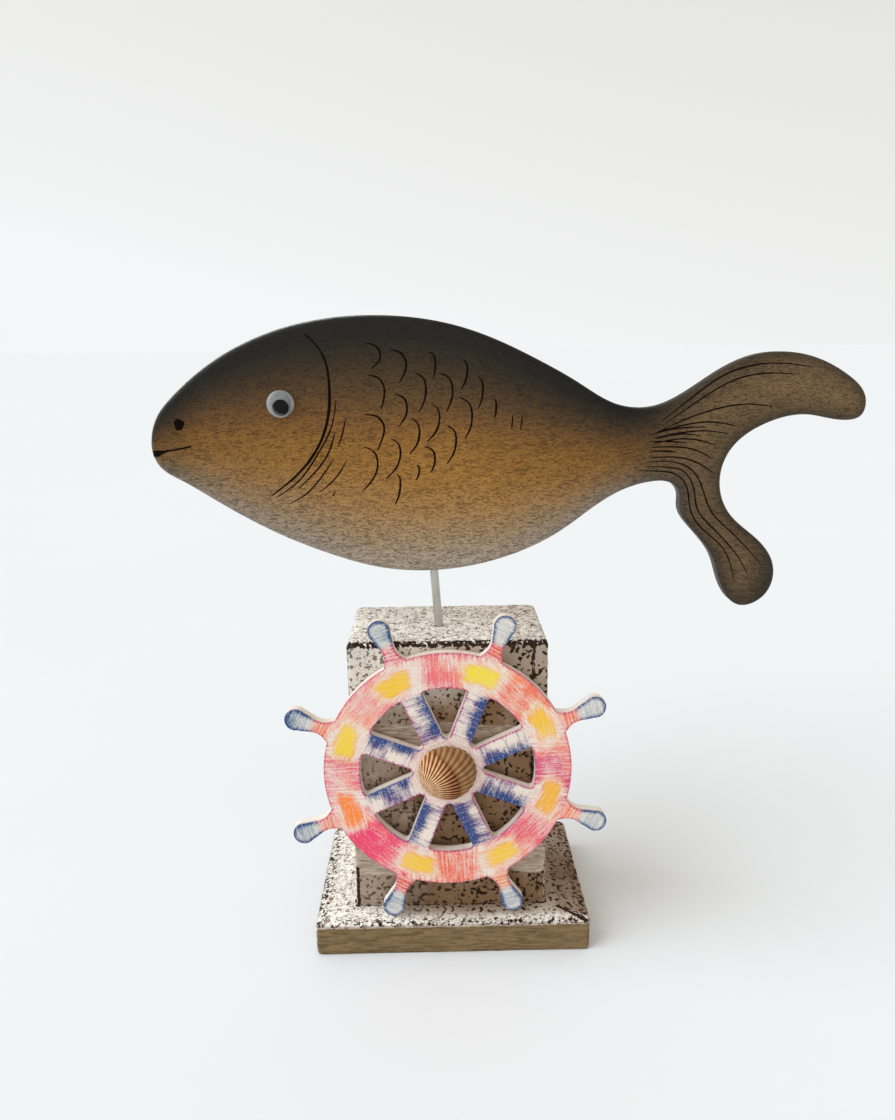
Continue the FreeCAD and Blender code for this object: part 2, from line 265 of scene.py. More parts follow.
def clearance(points: np.ndarray, rim: np.ndarray) -> np.ndarray:
    """The distance from each flat point to the nearest point of a rim."""
    answers = []
    for part in np.array_split(points, max(1, len(points) // 4000)):
        gap = part[:, None, :] - rim[None, :, :]
        answers.append(np.sqrt(np.min(np.sum(gap * gap, axis=2), axis=1)))
    return np.concatenate(answers)


# ---------------------------------------------------------------- meshes from whole arrays


def ring_faces(first: np.ndarray, second: np.ndarray) -> list[list[int]]:
    """Quads between two loops of vertex numbers with the same count."""
    quads = np.column_stack([first, np.roll(first, -1), np.roll(second, -1), second])
    return quads.tolist()


def fill_flat(loops: Sequence[np.ndarray], step: float) -> tuple[np.ndarray, list[list[int]]]:
    """Triangles inside the first loop and outside the others, through a staggered grid of points.

    Args:
        loops: the outer loop, then the holes.
        step: the distance between the grid's points.

    Returns:
        The points, the loops' own first and in order, and the triangles.
    """
    rim = np.concatenate(loops)
    low, high = rim.min(axis=0), rim.max(axis=0)
    across = np.arange(low[0], high[0], step)
    up = np.arange(low[1], high[1], step * math.sqrt(0.75))
    grid_x, grid_y = np.meshgrid(across, up)
    grid_x = grid_x + (np.arange(len(up)) % 2 * step / 2)[:, None]
    grid = np.column_stack([grid_x.ravel(), grid_y.ravel()])
    grid = grid[inside(grid, loops)]
    grid = grid[clearance(grid, rim) > step * 0.6]
    points = np.vstack([rim, grid])
    edges = []
    offset = 0
    for loop in loops:
        number = np.arange(len(loop)) + offset
        edges += np.column_stack([number, np.roll(number, -1)]).tolist()
        offset += len(loop)
    made = delaunay_2d_cdt([Vector(p) for p in points.tolist()], edges, [], 0, 1e-6, False)
    if len(made[0]) != len(points):
        raise ValueError("two points of a flat face fall together")
    faces = np.array(made[2])
    middle = points[faces].mean(axis=1)
    return points, faces[inside(middle, loops)].tolist()


def put_mesh(name: str, points: np.ndarray, faces: list, materials: Sequence[bpy.types.Material],
             sharp: float = 40.0) -> bpy.types.Object:
    """Makes a mesh object at the origin, with its faces turned outwards and shaded smooth.

    Args:
        name: the piece's name.
        points: places in millimetres.
        faces: lists of vertex numbers.
        materials: its materials, in slot order.
        sharp: edges bent by more than this many degrees stay crisp.

    Returns:
        The object.
    """
    mesh = bpy.data.meshes.new(name)
    mesh.from_pydata((np.asarray(points) * MM).tolist(), [], faces)
    work = bmesh.new()
    work.from_mesh(mesh)
    bmesh.ops.recalc_face_normals(work, faces=work.faces[:])
    work.to_mesh(mesh)
    work.free()
    for material in materials:
        mesh.materials.append(material)
    mesh.shade_smooth()
    mesh.set_sharp_from_angle(angle=math.radians(sharp))
    piece = bpy.data.objects.new(name, mesh)
    bpy.context.scene.collection.objects.link(piece)
    return piece


def read_points(piece: bpy.types.Object) -> np.ndarray:
    """A piece's vertices in millimetres."""
    flat = np.zeros(len(piece.data.vertices) * 3, np.float32)
    piece.data.vertices.foreach_get("co", flat)
    return flat.reshape(-1, 3).astype(float) * PER_MM


def read_normals(piece: bpy.types.Object) -> np.ndarray:
    """A piece's vertex normals."""
    flat = np.zeros(len(piece.data.vertices) * 3, np.float32)
    piece.data.vertex_normals.foreach_get("vector", flat)
    return flat.reshape(-1, 3).astype(float)


def write_points(piece: bpy.types.Object, points: np.ndarray) -> None:
    """Moves a piece's vertices to places given in millimetres."""
    piece.data.vertices.foreach_set("co", (points * MM).astype(np.float32).ravel())
    piece.data.update()


def write_number(piece: bpy.types.Object, name: str, values: np.ndarray) -> None:
    """Stores one number for each vertex under a name."""
    layer = piece.data.attributes.new(name, "FLOAT", "POINT")
    layer.data.foreach_set("value", np.asarray(values, np.float32))


def write_colour(piece: bpy.types.Object, name: str, colours: np.ndarray) -> None:
    """Stores one linear colour for each vertex under a name."""
    layer = piece.data.attributes.new(name, "FLOAT_COLOR", "POINT")
    full = np.column_stack([colours, np.ones(len(colours))]).astype(np.float32)
    layer.data.foreach_set("color", full.ravel())


def turned(profile: Sequence[Sequence[float]], origin: Sequence[float], axis: Sequence[float],
           count: int) -> tuple[np.ndarray, list]:
    """A surface of revolution: each (radius, height) of the profile swept round an axis.

    The profile's first and last radius are zero, and become the two poles.

    Args:
        profile: radius and height, from pole to pole.
        origin: the axis's foot.
        axis: its direction.
        count: steps round the axis.

    Returns:
        Points and faces.
    """
    up = np.asarray(axis, float) / np.linalg.norm(axis)
    side = np.cross(up, [0.0, 1.0, 0.0] if abs(up[1]) < 0.9 else [0.0, 0.0, 1.0])
    side /= np.linalg.norm(side)
    other = np.cross(up, side)
    turn = np.linspace(0.0, 2.0 * math.pi, count, endpoint=False)
    around = np.cos(turn)[:, None] * side + np.sin(turn)[:, None] * other
    line = np.asarray(profile, float)
    middle = line[1:-1]
    rings = middle[:, None, 0:1] * around[None] + middle[:, None, 1:2] * up
    poles = line[[0, -1], 1:2] * up
    points = np.vstack([rings.reshape(-1, 3), poles]) + np.asarray(origin, float)
    number = np.arange(len(middle) * count).reshape(len(middle), count)
    faces: list = []
    for low, high in zip(number[:-1], number[1:]):
        faces += ring_faces(low, high)
    for ring, pole in ((number[0], len(points) - 2), (number[-1], len(points) - 1)):
        faces += np.column_stack([ring, np.roll(ring, -1), np.full(count, pole)]).tolist()
    return points, faces


# ---------------------------------------------------------------- materials


def linear(code: str) -> tuple[float, float, float, float]:
    """An sRGB hex colour as linear red, green, blue and a full alpha."""
    parts = np.array([int(code[i : i + 2], 16) for i in (1, 3, 5)]) / 255.0
    parts = np.where(parts <= 0.04045, parts / 12.92, ((parts + 0.055) / 1.055) ** 2.4)
    return (*parts.tolist(), 1.0)


def colour_of(code: str) -> np.ndarray:
    """An sRGB hex colour as linear red, green and blue."""
    return np.array(linear(code)[:3])


def colours_of(*codes: str) -> np.ndarray:
    """A row of linear red, green and blue for each sRGB hex colour."""
    return np.array([linear(code)[:3] for code in codes])


def mixed(first: np.ndarray | float, second: np.ndarray | float, share: np.ndarray | float) -> np.ndarray:
    """The first value where the share is 0, the second where it is 1, and a mix in between."""
    return first * (1 - share) + second * share


def ramp(value: np.ndarray, stops: Sequence[tuple[float, str]]) -> np.ndarray:
    """Linear colours read from a row of (place, hex) stops at each value."""
    places = [stop[0] for stop in stops]
    shades = colours_of(*(stop[1] for stop in stops))
    return np.stack([np.interp(value, places, shades[:, c]) for c in range(3)], axis=-1)


def add_node(tree: bpy.types.NodeTree, kind: str, settings: dict[str, Any] | None = None,
             inputs: dict[int | str, Any] | None = None) -> bpy.types.Node:
    """Adds one node with its settings, and links or sets its inputs.

    Args:
        tree: the node tree.
        kind: the node's type name.
        settings: properties to set.
        inputs: for each input, a socket to link from or a value to set.

    Returns:
        The node.
    """
    node = tree.nodes.new(kind)
    for key, value in (settings or {}).items():
        setattr(node, key, value)
    for key, value in (inputs or {}).items():
        if isinstance(value, bpy.types.NodeSocket):
            tree.links.new(value, node.inputs[key])
        else:
            node.inputs[key].default_value = value
    return node


def new_material(name: str) -> tuple[bpy.types.Material, bpy.types.NodeTree]:
    """An empty node material and its tree."""
    material = bpy.data.materials.new(name)
    material.use_nodes = True
    material.node_tree.nodes.clear()
    return material, material.node_tree


def finish_surface(tree: bpy.types.NodeTree, shader: bpy.types.Node) -> None:
    """Joins a shader to the material's output."""
    add_node(tree, "ShaderNodeOutputMaterial", None, {"Surface": shader.outputs[0]})


RGB = {"data_type": "RGBA"}


@dataclass(frozen=True)
class CrackledPaint:
    """Cream emulsion over dark stain, crackled and rubbed through to grey-brown pine.

    It gives the eye white rows with dark dashes where it is thick, dark flecks on a brown ground
    where it is thin, and matte wavy-grained wood where it is gone; its lightness also carries painted light
    and shade.
    """

    name: str
    white: str = "#FFFBF4"
    thin: str = "#86684B"
    under: str = "#2A1608"
    line: str = "#6A4F3A"
    wood_light: str = "#8A7350"
    wood_dark: str = "#5E4A30"
    dash_mm: tuple[float, float, float] = (2.1, 0.82, 0.82)
    fleck_mm: float = 1.45
    grain_mm: tuple[float, float, float] = (9.0, 9.0, 1.3)
    crack_patch: tuple[float, float] = (0.42, 0.8)
    crack_width: float = 0.17
    fleck_edge: tuple[float, float] = (0.57, 0.605)
    grain_tones: tuple[float, float] = (0.34, 0.58)
    bare_edge: tuple[float, float] = (0.45, 0.62)
    dirt_and_shade_edge: tuple[float, float] = (0.98, 1.06)
    relief_mm: float = 0.14
    rough: tuple[float, float] = (0.66, 0.88)

    def make(self) -> bpy.types.Material:
        """Builds the node material."""
        material, tree = new_material(self.name)
        place = add_node(tree, "ShaderNodeTexCoord").outputs["Object"]
        # The lightness attribute mixes thin ground to white paint; it carries painted light and shade as
        # well as paint thickness.
        light, bare, dashes, dirt_and_shade_weight = (
            add_node(tree, "ShaderNodeAttribute", {"attribute_name": kind.value}).outputs["Fac"]
            for kind in Wood
        )
        waver = add_node(tree, "ShaderNodeTexNoise", None,
                         {"Vector": place, "Scale": PER_MM / 3.0, "Detail": 2.0})
        shaken = add_node(tree, "ShaderNodeMix", {"data_type": "VECTOR"},
                          {"Factor": 0.0012, 4: place, 5: waver.outputs["Color"]}).outputs[1]
        rows = add_node(tree, "ShaderNodeMapping", {"vector_type": "POINT"},
                        {"Vector": shaken, "Scale": [PER_MM / s for s in self.dash_mm]})
        crack = add_node(tree, "ShaderNodeTexVoronoi", {"feature": "DISTANCE_TO_EDGE"},
                         {"Vector": rows.outputs[0], "Scale": 1.0, "Randomness": 0.85})
        patch = add_node(tree, "ShaderNodeTexNoise", None,
                         {"Vector": place, "Scale": PER_MM / 2.6, "Detail": 3.0, "Roughness": 0.6})
        reach = add_node(tree, "ShaderNodeMapRange", None,
                         {"Value": patch.outputs["Fac"], 1: self.crack_patch[0],
                          2: self.crack_patch[1], 3: 0.0, 4: self.crack_width})
        cracked = add_node(tree, "ShaderNodeMath", {"operation": "LESS_THAN"},
                           {0: crack.outputs["Distance"], 1: reach.outputs[0]})
        fleck = add_node(tree, "ShaderNodeTexNoise", None,
                         {"Vector": shaken, "Scale": PER_MM / self.fleck_mm, "Detail": 1.2,
                          "Roughness": 0.5})
        flecked = add_node(tree, "ShaderNodeMapRange", None,
                           {"Value": fleck.outputs["Fac"], 1: self.fleck_edge[0],
                            2: self.fleck_edge[1], 3: 0.0, 4: 1.0})
        lines = add_node(tree, "ShaderNodeMath", {"operation": "MULTIPLY"},
                         {0: cracked.outputs[0], 1: dashes})
        loose = add_node(tree, "ShaderNodeMath", {"operation": "MULTIPLY_ADD", "use_clamp": True},
                         {0: dashes, 1: -0.7, 2: 1.0})
        spots = add_node(tree, "ShaderNodeMath", {"operation": "MULTIPLY"},
                         {0: flecked.outputs[0], 1: loose.outputs[0]})
        dark = add_node(tree, "ShaderNodeMath", {"operation": "MAXIMUM"},
                        {0: lines.outputs[0], 1: spots.outputs[0]}).outputs[0]
        mottle = add_node(tree, "ShaderNodeTexNoise", None,
                          {"Vector": place, "Scale": PER_MM / 7.0, "Detail": 5.0, "Roughness": 0.7})
        lifted = add_node(tree, "ShaderNodeMath", {"operation": "MULTIPLY_ADD", "use_clamp": True},
                          {0: mottle.outputs["Fac"], 1: 0.5, 2: -0.25})
        cover = add_node(tree, "ShaderNodeMath", {"operation": "ADD", "use_clamp": True},
                         {0: light, 1: lifted.outputs[0]})
        coat = add_node(tree, "ShaderNodeMix", RGB,
                        {0: cover.outputs[0], 6: linear(self.thin), 7: linear(self.white)})
        crazed = add_node(tree, "ShaderNodeMix", RGB,
                          {0: lines.outputs[0], 6: coat.outputs[2], 7: linear(self.line)})
        painted = add_node(tree, "ShaderNodeMix", RGB,
                           {0: spots.outputs[0], 6: crazed.outputs[2], 7: linear(self.under)})
        grain_place = add_node(tree, "ShaderNodeMapping", None,
                               {"Vector": place, "Scale": [PER_MM / s for s in self.grain_mm]})
        grain = add_node(tree, "ShaderNodeTexNoise", None,
                         {"Vector": grain_place.outputs[0], "Scale": 1.0, "Detail": 4.0,
                          "Roughness": 0.68, "Distortion": 1.3})
        wood = add_node(tree, "ShaderNodeValToRGB", None, {"Fac": grain.outputs["Fac"]})
        wood.color_ramp.elements[0].position = self.grain_tones[0]
        wood.color_ramp.elements[0].color = linear(self.wood_dark)
        wood.color_ramp.elements[1].position = self.grain_tones[1]
        wood.color_ramp.elements[1].color = linear(self.wood_light)
        torn = add_node(tree, "ShaderNodeMath", {"operation": "ADD"},
                        {0: bare, 1: lifted.outputs[0]})
        gone = add_node(tree, "ShaderNodeMapRange", None,
                        {"Value": torn.outputs[0], 1: self.bare_edge[0], 2: self.bare_edge[1]})
        colour = add_node(tree, "ShaderNodeMix", RGB,
                          {0: gone.outputs[0], 6: painted.outputs[2], 7: wood.outputs["Color"]})
        crumbs = add_node(tree, "ShaderNodeTexNoise", None,
                          {"Vector": shaken, "Scale": PER_MM / 1.3, "Detail": 2.0})
        # The dirt weight darkens towards the under colour: partly dirt, partly painted shade in creases,
        # round the post's foot and along the bottom.
        crumbs_with_dirt_and_shade = add_node(tree, "ShaderNodeMath", {"operation": "ADD"},
                          {0: crumbs.outputs["Fac"], 1: dirt_and_shade_weight})
        dirt_and_shade_mask = add_node(tree, "ShaderNodeMapRange", None,
                         {"Value": crumbs_with_dirt_and_shade.outputs[0], 1: self.dirt_and_shade_edge[0], 2: self.dirt_and_shade_edge[1]})
        dirt_and_shade_colour = add_node(tree, "ShaderNodeMix", RGB,
                          {0: dirt_and_shade_mask.outputs[0], 6: colour.outputs[2], 7: linear(self.under)})
        film = add_node(tree, "ShaderNodeMix", {"data_type": "FLOAT"},
                        {0: dark, 2: 1.0, 3: 0.0}).outputs[0]
        relief = add_node(tree, "ShaderNodeMix", {"data_type": "FLOAT"},
                          {0: gone.outputs[0], 2: film, 3: grain.outputs["Fac"]})
        bump = add_node(tree, "ShaderNodeBump", None,
                        {"Height": relief.outputs[0], "Strength": 0.7,
                         "Distance": self.relief_mm * MM})
        shine = add_node(tree, "ShaderNodeMapRange", None,
                         {"Value": dark, 3: self.rough[0], 4: self.rough[1]})
        shader = add_node(tree, "ShaderNodeBsdfPrincipled", None,
                          {"Base Color": dirt_and_shade_colour.outputs[2], "Roughness": shine.outputs[0],
                           "Normal": bump.outputs[0], "IOR": 1.48, "Specular IOR Level": 0.3})
        finish_surface(tree, shader)
        return material


@dataclass(frozen=True)
class AirbrushedStain:
    """Wood stain airbrushed over MDF that was sealed with a grained satin varnish.

    It gives the eye a soft fade from near-black to golden brown, broken by short sideways creases
    and a stipple of darker drops.
    """

    name: str = "airbrushed_stain_satin_varnish"
    wrinkle_mm: tuple[float, float, float] = (2.6, 2.6, 0.62)
    drop_mm: float = 0.45
    crease_edge: tuple[float, float] = (0.41, 0.52)
    crease_tone: tuple[float, float] = (0.52, 1.24)
    drop_edge: tuple[float, float] = (0.3, 0.7)
    drop_tone: tuple[float, float] = (0.78, 1.2)
    relief_mm: float = 0.16
    rough: tuple[float, float] = (0.38, 0.52)

    def make(self) -> bpy.types.Material:
        """Builds the node material."""
        material, tree = new_material(self.name)
        place = add_node(tree, "ShaderNodeTexCoord").outputs["Object"]
        tone = add_node(tree, "ShaderNodeAttribute", {"attribute_name": "airbrush"}).outputs["Color"]
        lay = add_node(tree, "ShaderNodeMapping", None,
                       {"Vector": place, "Scale": [PER_MM / s for s in self.wrinkle_mm]})
        wrinkle = add_node(tree, "ShaderNodeTexNoise", None,
                           {"Vector": lay.outputs[0], "Scale": 1.0, "Detail": 3.0, "Roughness": 0.6,
                            "Distortion": 1.6})
        drop = add_node(tree, "ShaderNodeTexNoise", None,
                        {"Vector": place, "Scale": PER_MM / self.drop_mm, "Detail": 2.0})
        crease = add_node(tree, "ShaderNodeMapRange", None,
                          {"Value": wrinkle.outputs["Fac"], 1: self.crease_edge[0],
                           2: self.crease_edge[1], 3: self.crease_tone[0], 4: self.crease_tone[1]})
        stipple = add_node(tree, "ShaderNodeMapRange", None,
                           {"Value": drop.outputs["Fac"], 1: self.drop_edge[0],
                            2: self.drop_edge[1], 3: self.drop_tone[0], 4: self.drop_tone[1]})
        both = add_node(tree, "ShaderNodeMath", {"operation": "MULTIPLY"},
                        {0: crease.outputs[0], 1: stipple.outputs[0]})
        grey = add_node(tree, "ShaderNodeCombineColor", None,
                        {0: both.outputs[0], 1: both.outputs[0], 2: both.outputs[0]})
        colour = add_node(tree, "ShaderNodeMix", {"data_type": "RGBA", "blend_type": "MULTIPLY"},
                          {0: 1.0, 6: tone, 7: grey.outputs[0]})
        bump = add_node(tree, "ShaderNodeBump", None,
                        {"Height": both.outputs[0], "Strength": 0.5,
                         "Distance": self.relief_mm * MM})
        shine = add_node(tree, "ShaderNodeMapRange", None,
                         {"Value": wrinkle.outputs["Fac"], 3: self.rough[0], 4: self.rough[1]})
        shader = add_node(tree, "ShaderNodeBsdfPrincipled", None,
                          {"Base Color": colour.outputs[2], "Roughness": shine.outputs[0],
                           "Normal": bump.outputs[0], "IOR": 1.5, "Specular IOR Level": 0.22})
        finish_surface(tree, shader)
        return material


@dataclass(frozen=True)
class CrayonedBoard:
    """Wax crayon hatched by hand over primed plywood.

    It gives the eye streaks of bright pigment that break open to a cream ground, with a net of
    fine pale cracks where the wax skips over the grain.
    """

    name: str = "wax_crayon_on_primed_plywood"
    ground: str = "#EFE3D8"
    streak_mm: tuple[float, float] = (9.0, 0.7)
    skip_mm: float = 1.25
    tooth_mm: float = 0.6
    skip_width: float = 0.14
    skip_depth: tuple[float, float] = (-0.2, 0.05)
    wax_edge: tuple[float, float] = (0.66, 1.42)
    relief_mm: float = 0.08
    rough: tuple[float, float] = (0.72, 0.5)

    def make(self) -> bpy.types.Material:
        """Builds the node material."""
        material, tree = new_material(self.name)
        place = add_node(tree, "ShaderNodeTexCoord").outputs["Object"]
        along = add_node(tree, "ShaderNodeUVMap", {"uv_map": "strokes"}).outputs[0]
        pigment = add_node(tree, "ShaderNodeAttribute", {"attribute_name": "pigment"}).outputs["Color"]
        cover = add_node(tree, "ShaderNodeAttribute", {"attribute_name": "cover"}).outputs["Fac"]
        lay = add_node(tree, "ShaderNodeMapping", None,
                       {"Vector": along, "Scale": (1 / self.streak_mm[0], 1 / self.streak_mm[1], 1.0)})
        streak = add_node(tree, "ShaderNodeTexNoise", None,
                          {"Vector": lay.outputs[0], "Scale": 1.0, "Detail": 3.0, "Roughness": 0.6})
        tooth = add_node(tree, "ShaderNodeTexNoise", None,
                         {"Vector": place, "Scale": PER_MM / self.tooth_mm, "Detail": 2.0})
        net = add_node(tree, "ShaderNodeTexVoronoi", {"feature": "DISTANCE_TO_EDGE"},
                       {"Vector": place, "Scale": PER_MM / self.skip_mm})
        skip = add_node(tree, "ShaderNodeMapRange", None,
                        {"Value": net.outputs["Distance"], 1: 0.0, 2: self.skip_width,
                         3: self.skip_depth[0], 4: self.skip_depth[1]})
        grit = add_node(tree, "ShaderNodeMath", {"operation": "MULTIPLY_ADD"},
                        {0: tooth.outputs["Fac"], 1: 0.3, 2: -0.15})
        drawn = add_node(tree, "ShaderNodeMath", {"operation": "MULTIPLY_ADD"},
                         {0: streak.outputs["Fac"], 1: 1.7, 2: -0.35})
        held = add_node(tree, "ShaderNodeMath", {"operation": "ADD"},
                        {0: drawn.outputs[0], 1: grit.outputs[0]})
        broken = add_node(tree, "ShaderNodeMath", {"operation": "ADD"},
                          {0: held.outputs[0], 1: skip.outputs[0]})
        pressed = add_node(tree, "ShaderNodeMath", {"operation": "ADD"}, {0: broken.outputs[0], 1: cover})
        wax = add_node(tree, "ShaderNodeMapRange", None,
                       {"Value": pressed.outputs[0], 1: self.wax_edge[0], 2: self.wax_edge[1]})
        colour = add_node(tree, "ShaderNodeMix", RGB,
                          {0: wax.outputs[0], 6: linear(self.ground), 7: pigment})
        bump = add_node(tree, "ShaderNodeBump", None,
                        {"Height": broken.outputs[0], "Strength": 0.25,
                         "Distance": self.relief_mm * MM})
        shine = add_node(tree, "ShaderNodeMapRange", None,
                         {"Value": wax.outputs[0], 3: self.rough[0], 4: self.rough[1]})
        shader = add_node(tree, "ShaderNodeBsdfPrincipled", None,
                          {"Base Color": colour.outputs[2], "Roughness": shine.outputs[0],
                           "Normal": bump.outputs[0], "IOR": 1.46})
        finish_surface(tree, shader)
        return material


@dataclass(frozen=True)
class Mottled:
    """A surface whose colour and gloss drift between two tones at one scale.

    It serves plain finishes: sawn edges, ink, plastic, shell, dried glue, steel and zinc.
    """

    name: str
    first: str
    second: str
    size_mm: tuple[float, float, float]
    rough: tuple[float, float]
    metallic: float = 0.0
    ior: float = 1.5
    bump_mm: float = 0.03
    tint: str = ""
    specular: float = 0.5

    def make(self) -> bpy.types.Material:
        """Builds the node material."""
        material, tree = new_material(self.name)
        place = add_node(tree, "ShaderNodeTexCoord").outputs["Object"]
        lay = add_node(tree, "ShaderNodeMapping", None,
                       {"Vector": place, "Scale": [PER_MM / s for s in self.size_mm]})
        drift = add_node(tree, "ShaderNodeTexNoise", None,
                         {"Vector": lay.outputs[0], "Scale": 1.0, "Detail": 4.0, "Roughness": 0.6})
        even = add_node(tree, "ShaderNodeMapRange", None, {"Value": drift.outputs["Fac"], 1: 0.32, 2: 0.68})
        colour = add_node(tree, "ShaderNodeMix", RGB,
                          {0: even.outputs[0], 6: linear(self.first), 7: linear(self.second)}).outputs[2]
        if self.tint:
            own = add_node(tree, "ShaderNodeAttribute", {"attribute_name": self.tint}).outputs["Color"]
            colour = add_node(tree, "ShaderNodeMix", {"data_type": "RGBA", "blend_type": "MULTIPLY"},
                              {0: 1.0, 6: own, 7: colour}).outputs[2]
        bump = add_node(tree, "ShaderNodeBump", None,
                        {"Height": drift.outputs["Fac"], "Strength": 0.5,
                         "Distance": self.bump_mm * MM})
        shine = add_node(tree, "ShaderNodeMapRange", None,
                         {"Value": even.outputs[0], 3: self.rough[0], 4: self.rough[1]})
        inputs = {"Base Color": colour, "Roughness": shine.outputs[0], "Normal": bump.outputs[0],
                  "Metallic": self.metallic, "Specular IOR Level": self.specular}
        if self.metallic == 0.0:
            inputs["IOR"] = self.ior
        finish_surface(tree, add_node(tree, "ShaderNodeBsdfPrincipled", None, inputs))
        return material


@dataclass(frozen=True)
class ClearPlastic:
    """Vacuum-formed clear plastic, a little milky, denser where it is seen edge-on."""

    name: str = "clear_formed_plastic"
    haze: str = "#E6E9ED"

    def make(self) -> bpy.types.Material:
        """Builds the node material."""
        material, tree = new_material(self.name)
        place = add_node(tree, "ShaderNodeTexCoord").outputs["Object"]
        facing = add_node(tree, "ShaderNodeLayerWeight", None, {"Blend": 0.35}).outputs["Facing"]
        cloudy = add_node(tree, "ShaderNodeTexNoise", None, {"Vector": place, "Scale": PER_MM / 1.6})
        dense = add_node(tree, "ShaderNodeMapRange", None,
                         {"Value": facing, 1: 0.06, 2: 0.45, 3: 0.0, 4: 0.8})
        drift = add_node(tree, "ShaderNodeMapRange", None,
                         {"Value": cloudy.outputs["Fac"], 3: 0.06, 4: 0.14})
        shader = add_node(tree, "ShaderNodeBsdfPrincipled", None,
                          {"Base Color": linear(self.haze), "Roughness": drift.outputs[0],
                           "Alpha": dense.outputs[0], "IOR": 1.5})
        finish_surface(tree, shader)
        return material


# ---------------------------------------------------------------- stand


@dataclass(frozen=True)
class Pocket:
    """A round hole in a block's top or bottom."""

    x: float
    y: float
    radius: float
    depth: float

    def loop(self) -> np.ndarray:
        """Its edge, clockwise, as a hole in the flat face."""
        return arc((self.x, self.y), self.radius, 360.0, 0.0, 41)[:-1]


@dataclass
class WornBlock:
    """A sawn block whose skin is one grid of rings, with flat ends, worn by noise along its normals."""

    name: str
    middle: tuple[float, float]
    half: tuple[float, float]
    stations: np.ndarray
    corner: float
    step: float
    top_pockets: tuple[Pocket, ...] = ()
    bottom_pockets: tuple[Pocket, ...] = ()
    lumps: float = 0.2
    chips: float = 0.8
    seed: int = 3

    def ring(self, inset_x: float, inset_y: float) -> np.ndarray:
        """A rectangle with round corners, anticlockwise, with the same point counts at every inset.

        Args:
            inset_x: how far its sides have come in.
            inset_y: how far its front and back have come in.

        Returns:
            Flat points.
        """
        x, y = self.half[0] - inset_x, self.half[1] - inset_y
        r = self.corner
        along = max(8, int(2 * self.half[0] / self.step))
        across = max(8, int(2 * self.half[1] / self.step))
        t_along = np.linspace(-1, 1, along)[:-1]
        t_across = np.linspace(-1, 1, across)[:-1]
        bottom = np.column_stack([t_along * (x - r), np.full(along - 1, -y)])
        right = np.column_stack([np.full(across - 1, x), t_across * (y - r)])
        corner_points = 6
        loop = [
            bottom, arc((x - r, -y + r), r, -90, 0, corner_points)[:-1],
            right, arc((x - r, y - r), r, 0, 90, corner_points)[:-1],
            -bottom, arc((-x + r, y - r), r, 90, 180, corner_points)[:-1],
            -right, arc((-x + r, -y + r), r, 180, 270, corner_points)[:-1],
        ]
        return np.concatenate(loop) + np.asarray(self.middle)

    def end(self, loop: np.ndarray, height: float, pockets: Sequence[Pocket], into: float,
            offset: int) -> tuple[np.ndarray, list]:
        """A flat end inside a ring, with its pockets' walls and floors.

        Args:
            loop: the ring.
            height: its height.
            pockets: the holes in it.
            into: +1 or -1, the direction into the block.
            offset: the number of the first new vertex.

        Returns:
            Points and faces; the ring's own points come first.
        """
        holes = [pocket.loop() for pocket in pockets]
        flat, faces = fill_flat([loop, *holes], self.step * 1.1)
        points = [np.column_stack([flat, np.full(len(flat), height)])]
        shift = [[v + offset for v in face] for face in faces]
        start, total = len(loop), len(flat)
        for pocket, hole in zip(pockets, holes):
            floor = height + into * pocket.depth
            count = len(hole)
            edge = np.arange(count) + start + offset
            low = np.arange(count) + total + offset
            points.append(np.column_stack([hole, np.full(count, floor)]))
            points.append(np.array([[pocket.x, pocket.y, floor]]))
            shift += ring_faces(edge, low)
            shift += np.column_stack([low, np.roll(low, -1), np.full(count, low[-1] + 1)]).tolist()
            start += count
            total += count + 1
        return np.vstack(points), shift

    def build(self, material: bpy.types.Material) -> bpy.types.Object:
        """Makes the block's mesh, then wears it."""
        count = len(self.ring(0, 0))
        rings = [np.column_stack([self.ring(ix, iy), np.full(count, z)])
                 for ix, iy, z in self.stations.tolist()]
        bottom, faces = self.end(rings[0][:, :2], rings[0][0, 2], self.bottom_pockets, 1.0, 0)
        points = [bottom]
        lower = np.arange(count)
        total = len(bottom)
        for ring in rings[1:-1]:
            upper = np.arange(count) + total
            faces += ring_faces(lower, upper)
            points.append(ring)
            lower, total = upper, total + count
        top, top_faces = self.end(rings[-1][:, :2], rings[-1][0, 2], self.top_pockets, -1.0, total)
        faces += ring_faces(lower, np.arange(count) + total) + top_faces
        points.append(top)
        piece = put_mesh(self.name, np.vstack(points), faces, [material], 60.0)
        self.wear(piece)
        return piece

    def wear(self, piece: bpy.types.Object) -> None:
        """Sinks the skin along its normals: low lumps everywhere, chips where two faces meet."""
        place, normal = read_points(piece), read_normals(piece)
        low, high = place.min(axis=0), place.max(axis=0)
        near = 1.0 - np.clip(np.minimum(place - low, high - place) / 2.2, 0.0, 1.0)
        near.sort(axis=1)
        edge = near[:, 1] * near[:, 2]
        bite = smoothstep(0.1, 0.75, cloud(place, 6.5, self.seed, 3) + 0.25)
        sink = self.lumps * (0.5 + 0.5 * cloud(place, (3.0, 3.0, 2.2), self.seed + 5, 2))
        sink = sink + edge * bite * self.chips
        buried = (place[:, 2] < low[2] + 0.01) | (place[:, 2] > high[2] - 0.01)
        sink = np.where(buried & (edge < 0.02), sink * 0.4, sink)
        sink[place[:, 2] < low[2] + 0.01] = 0.0
        write_points(piece, place - normal * sink[:, None])


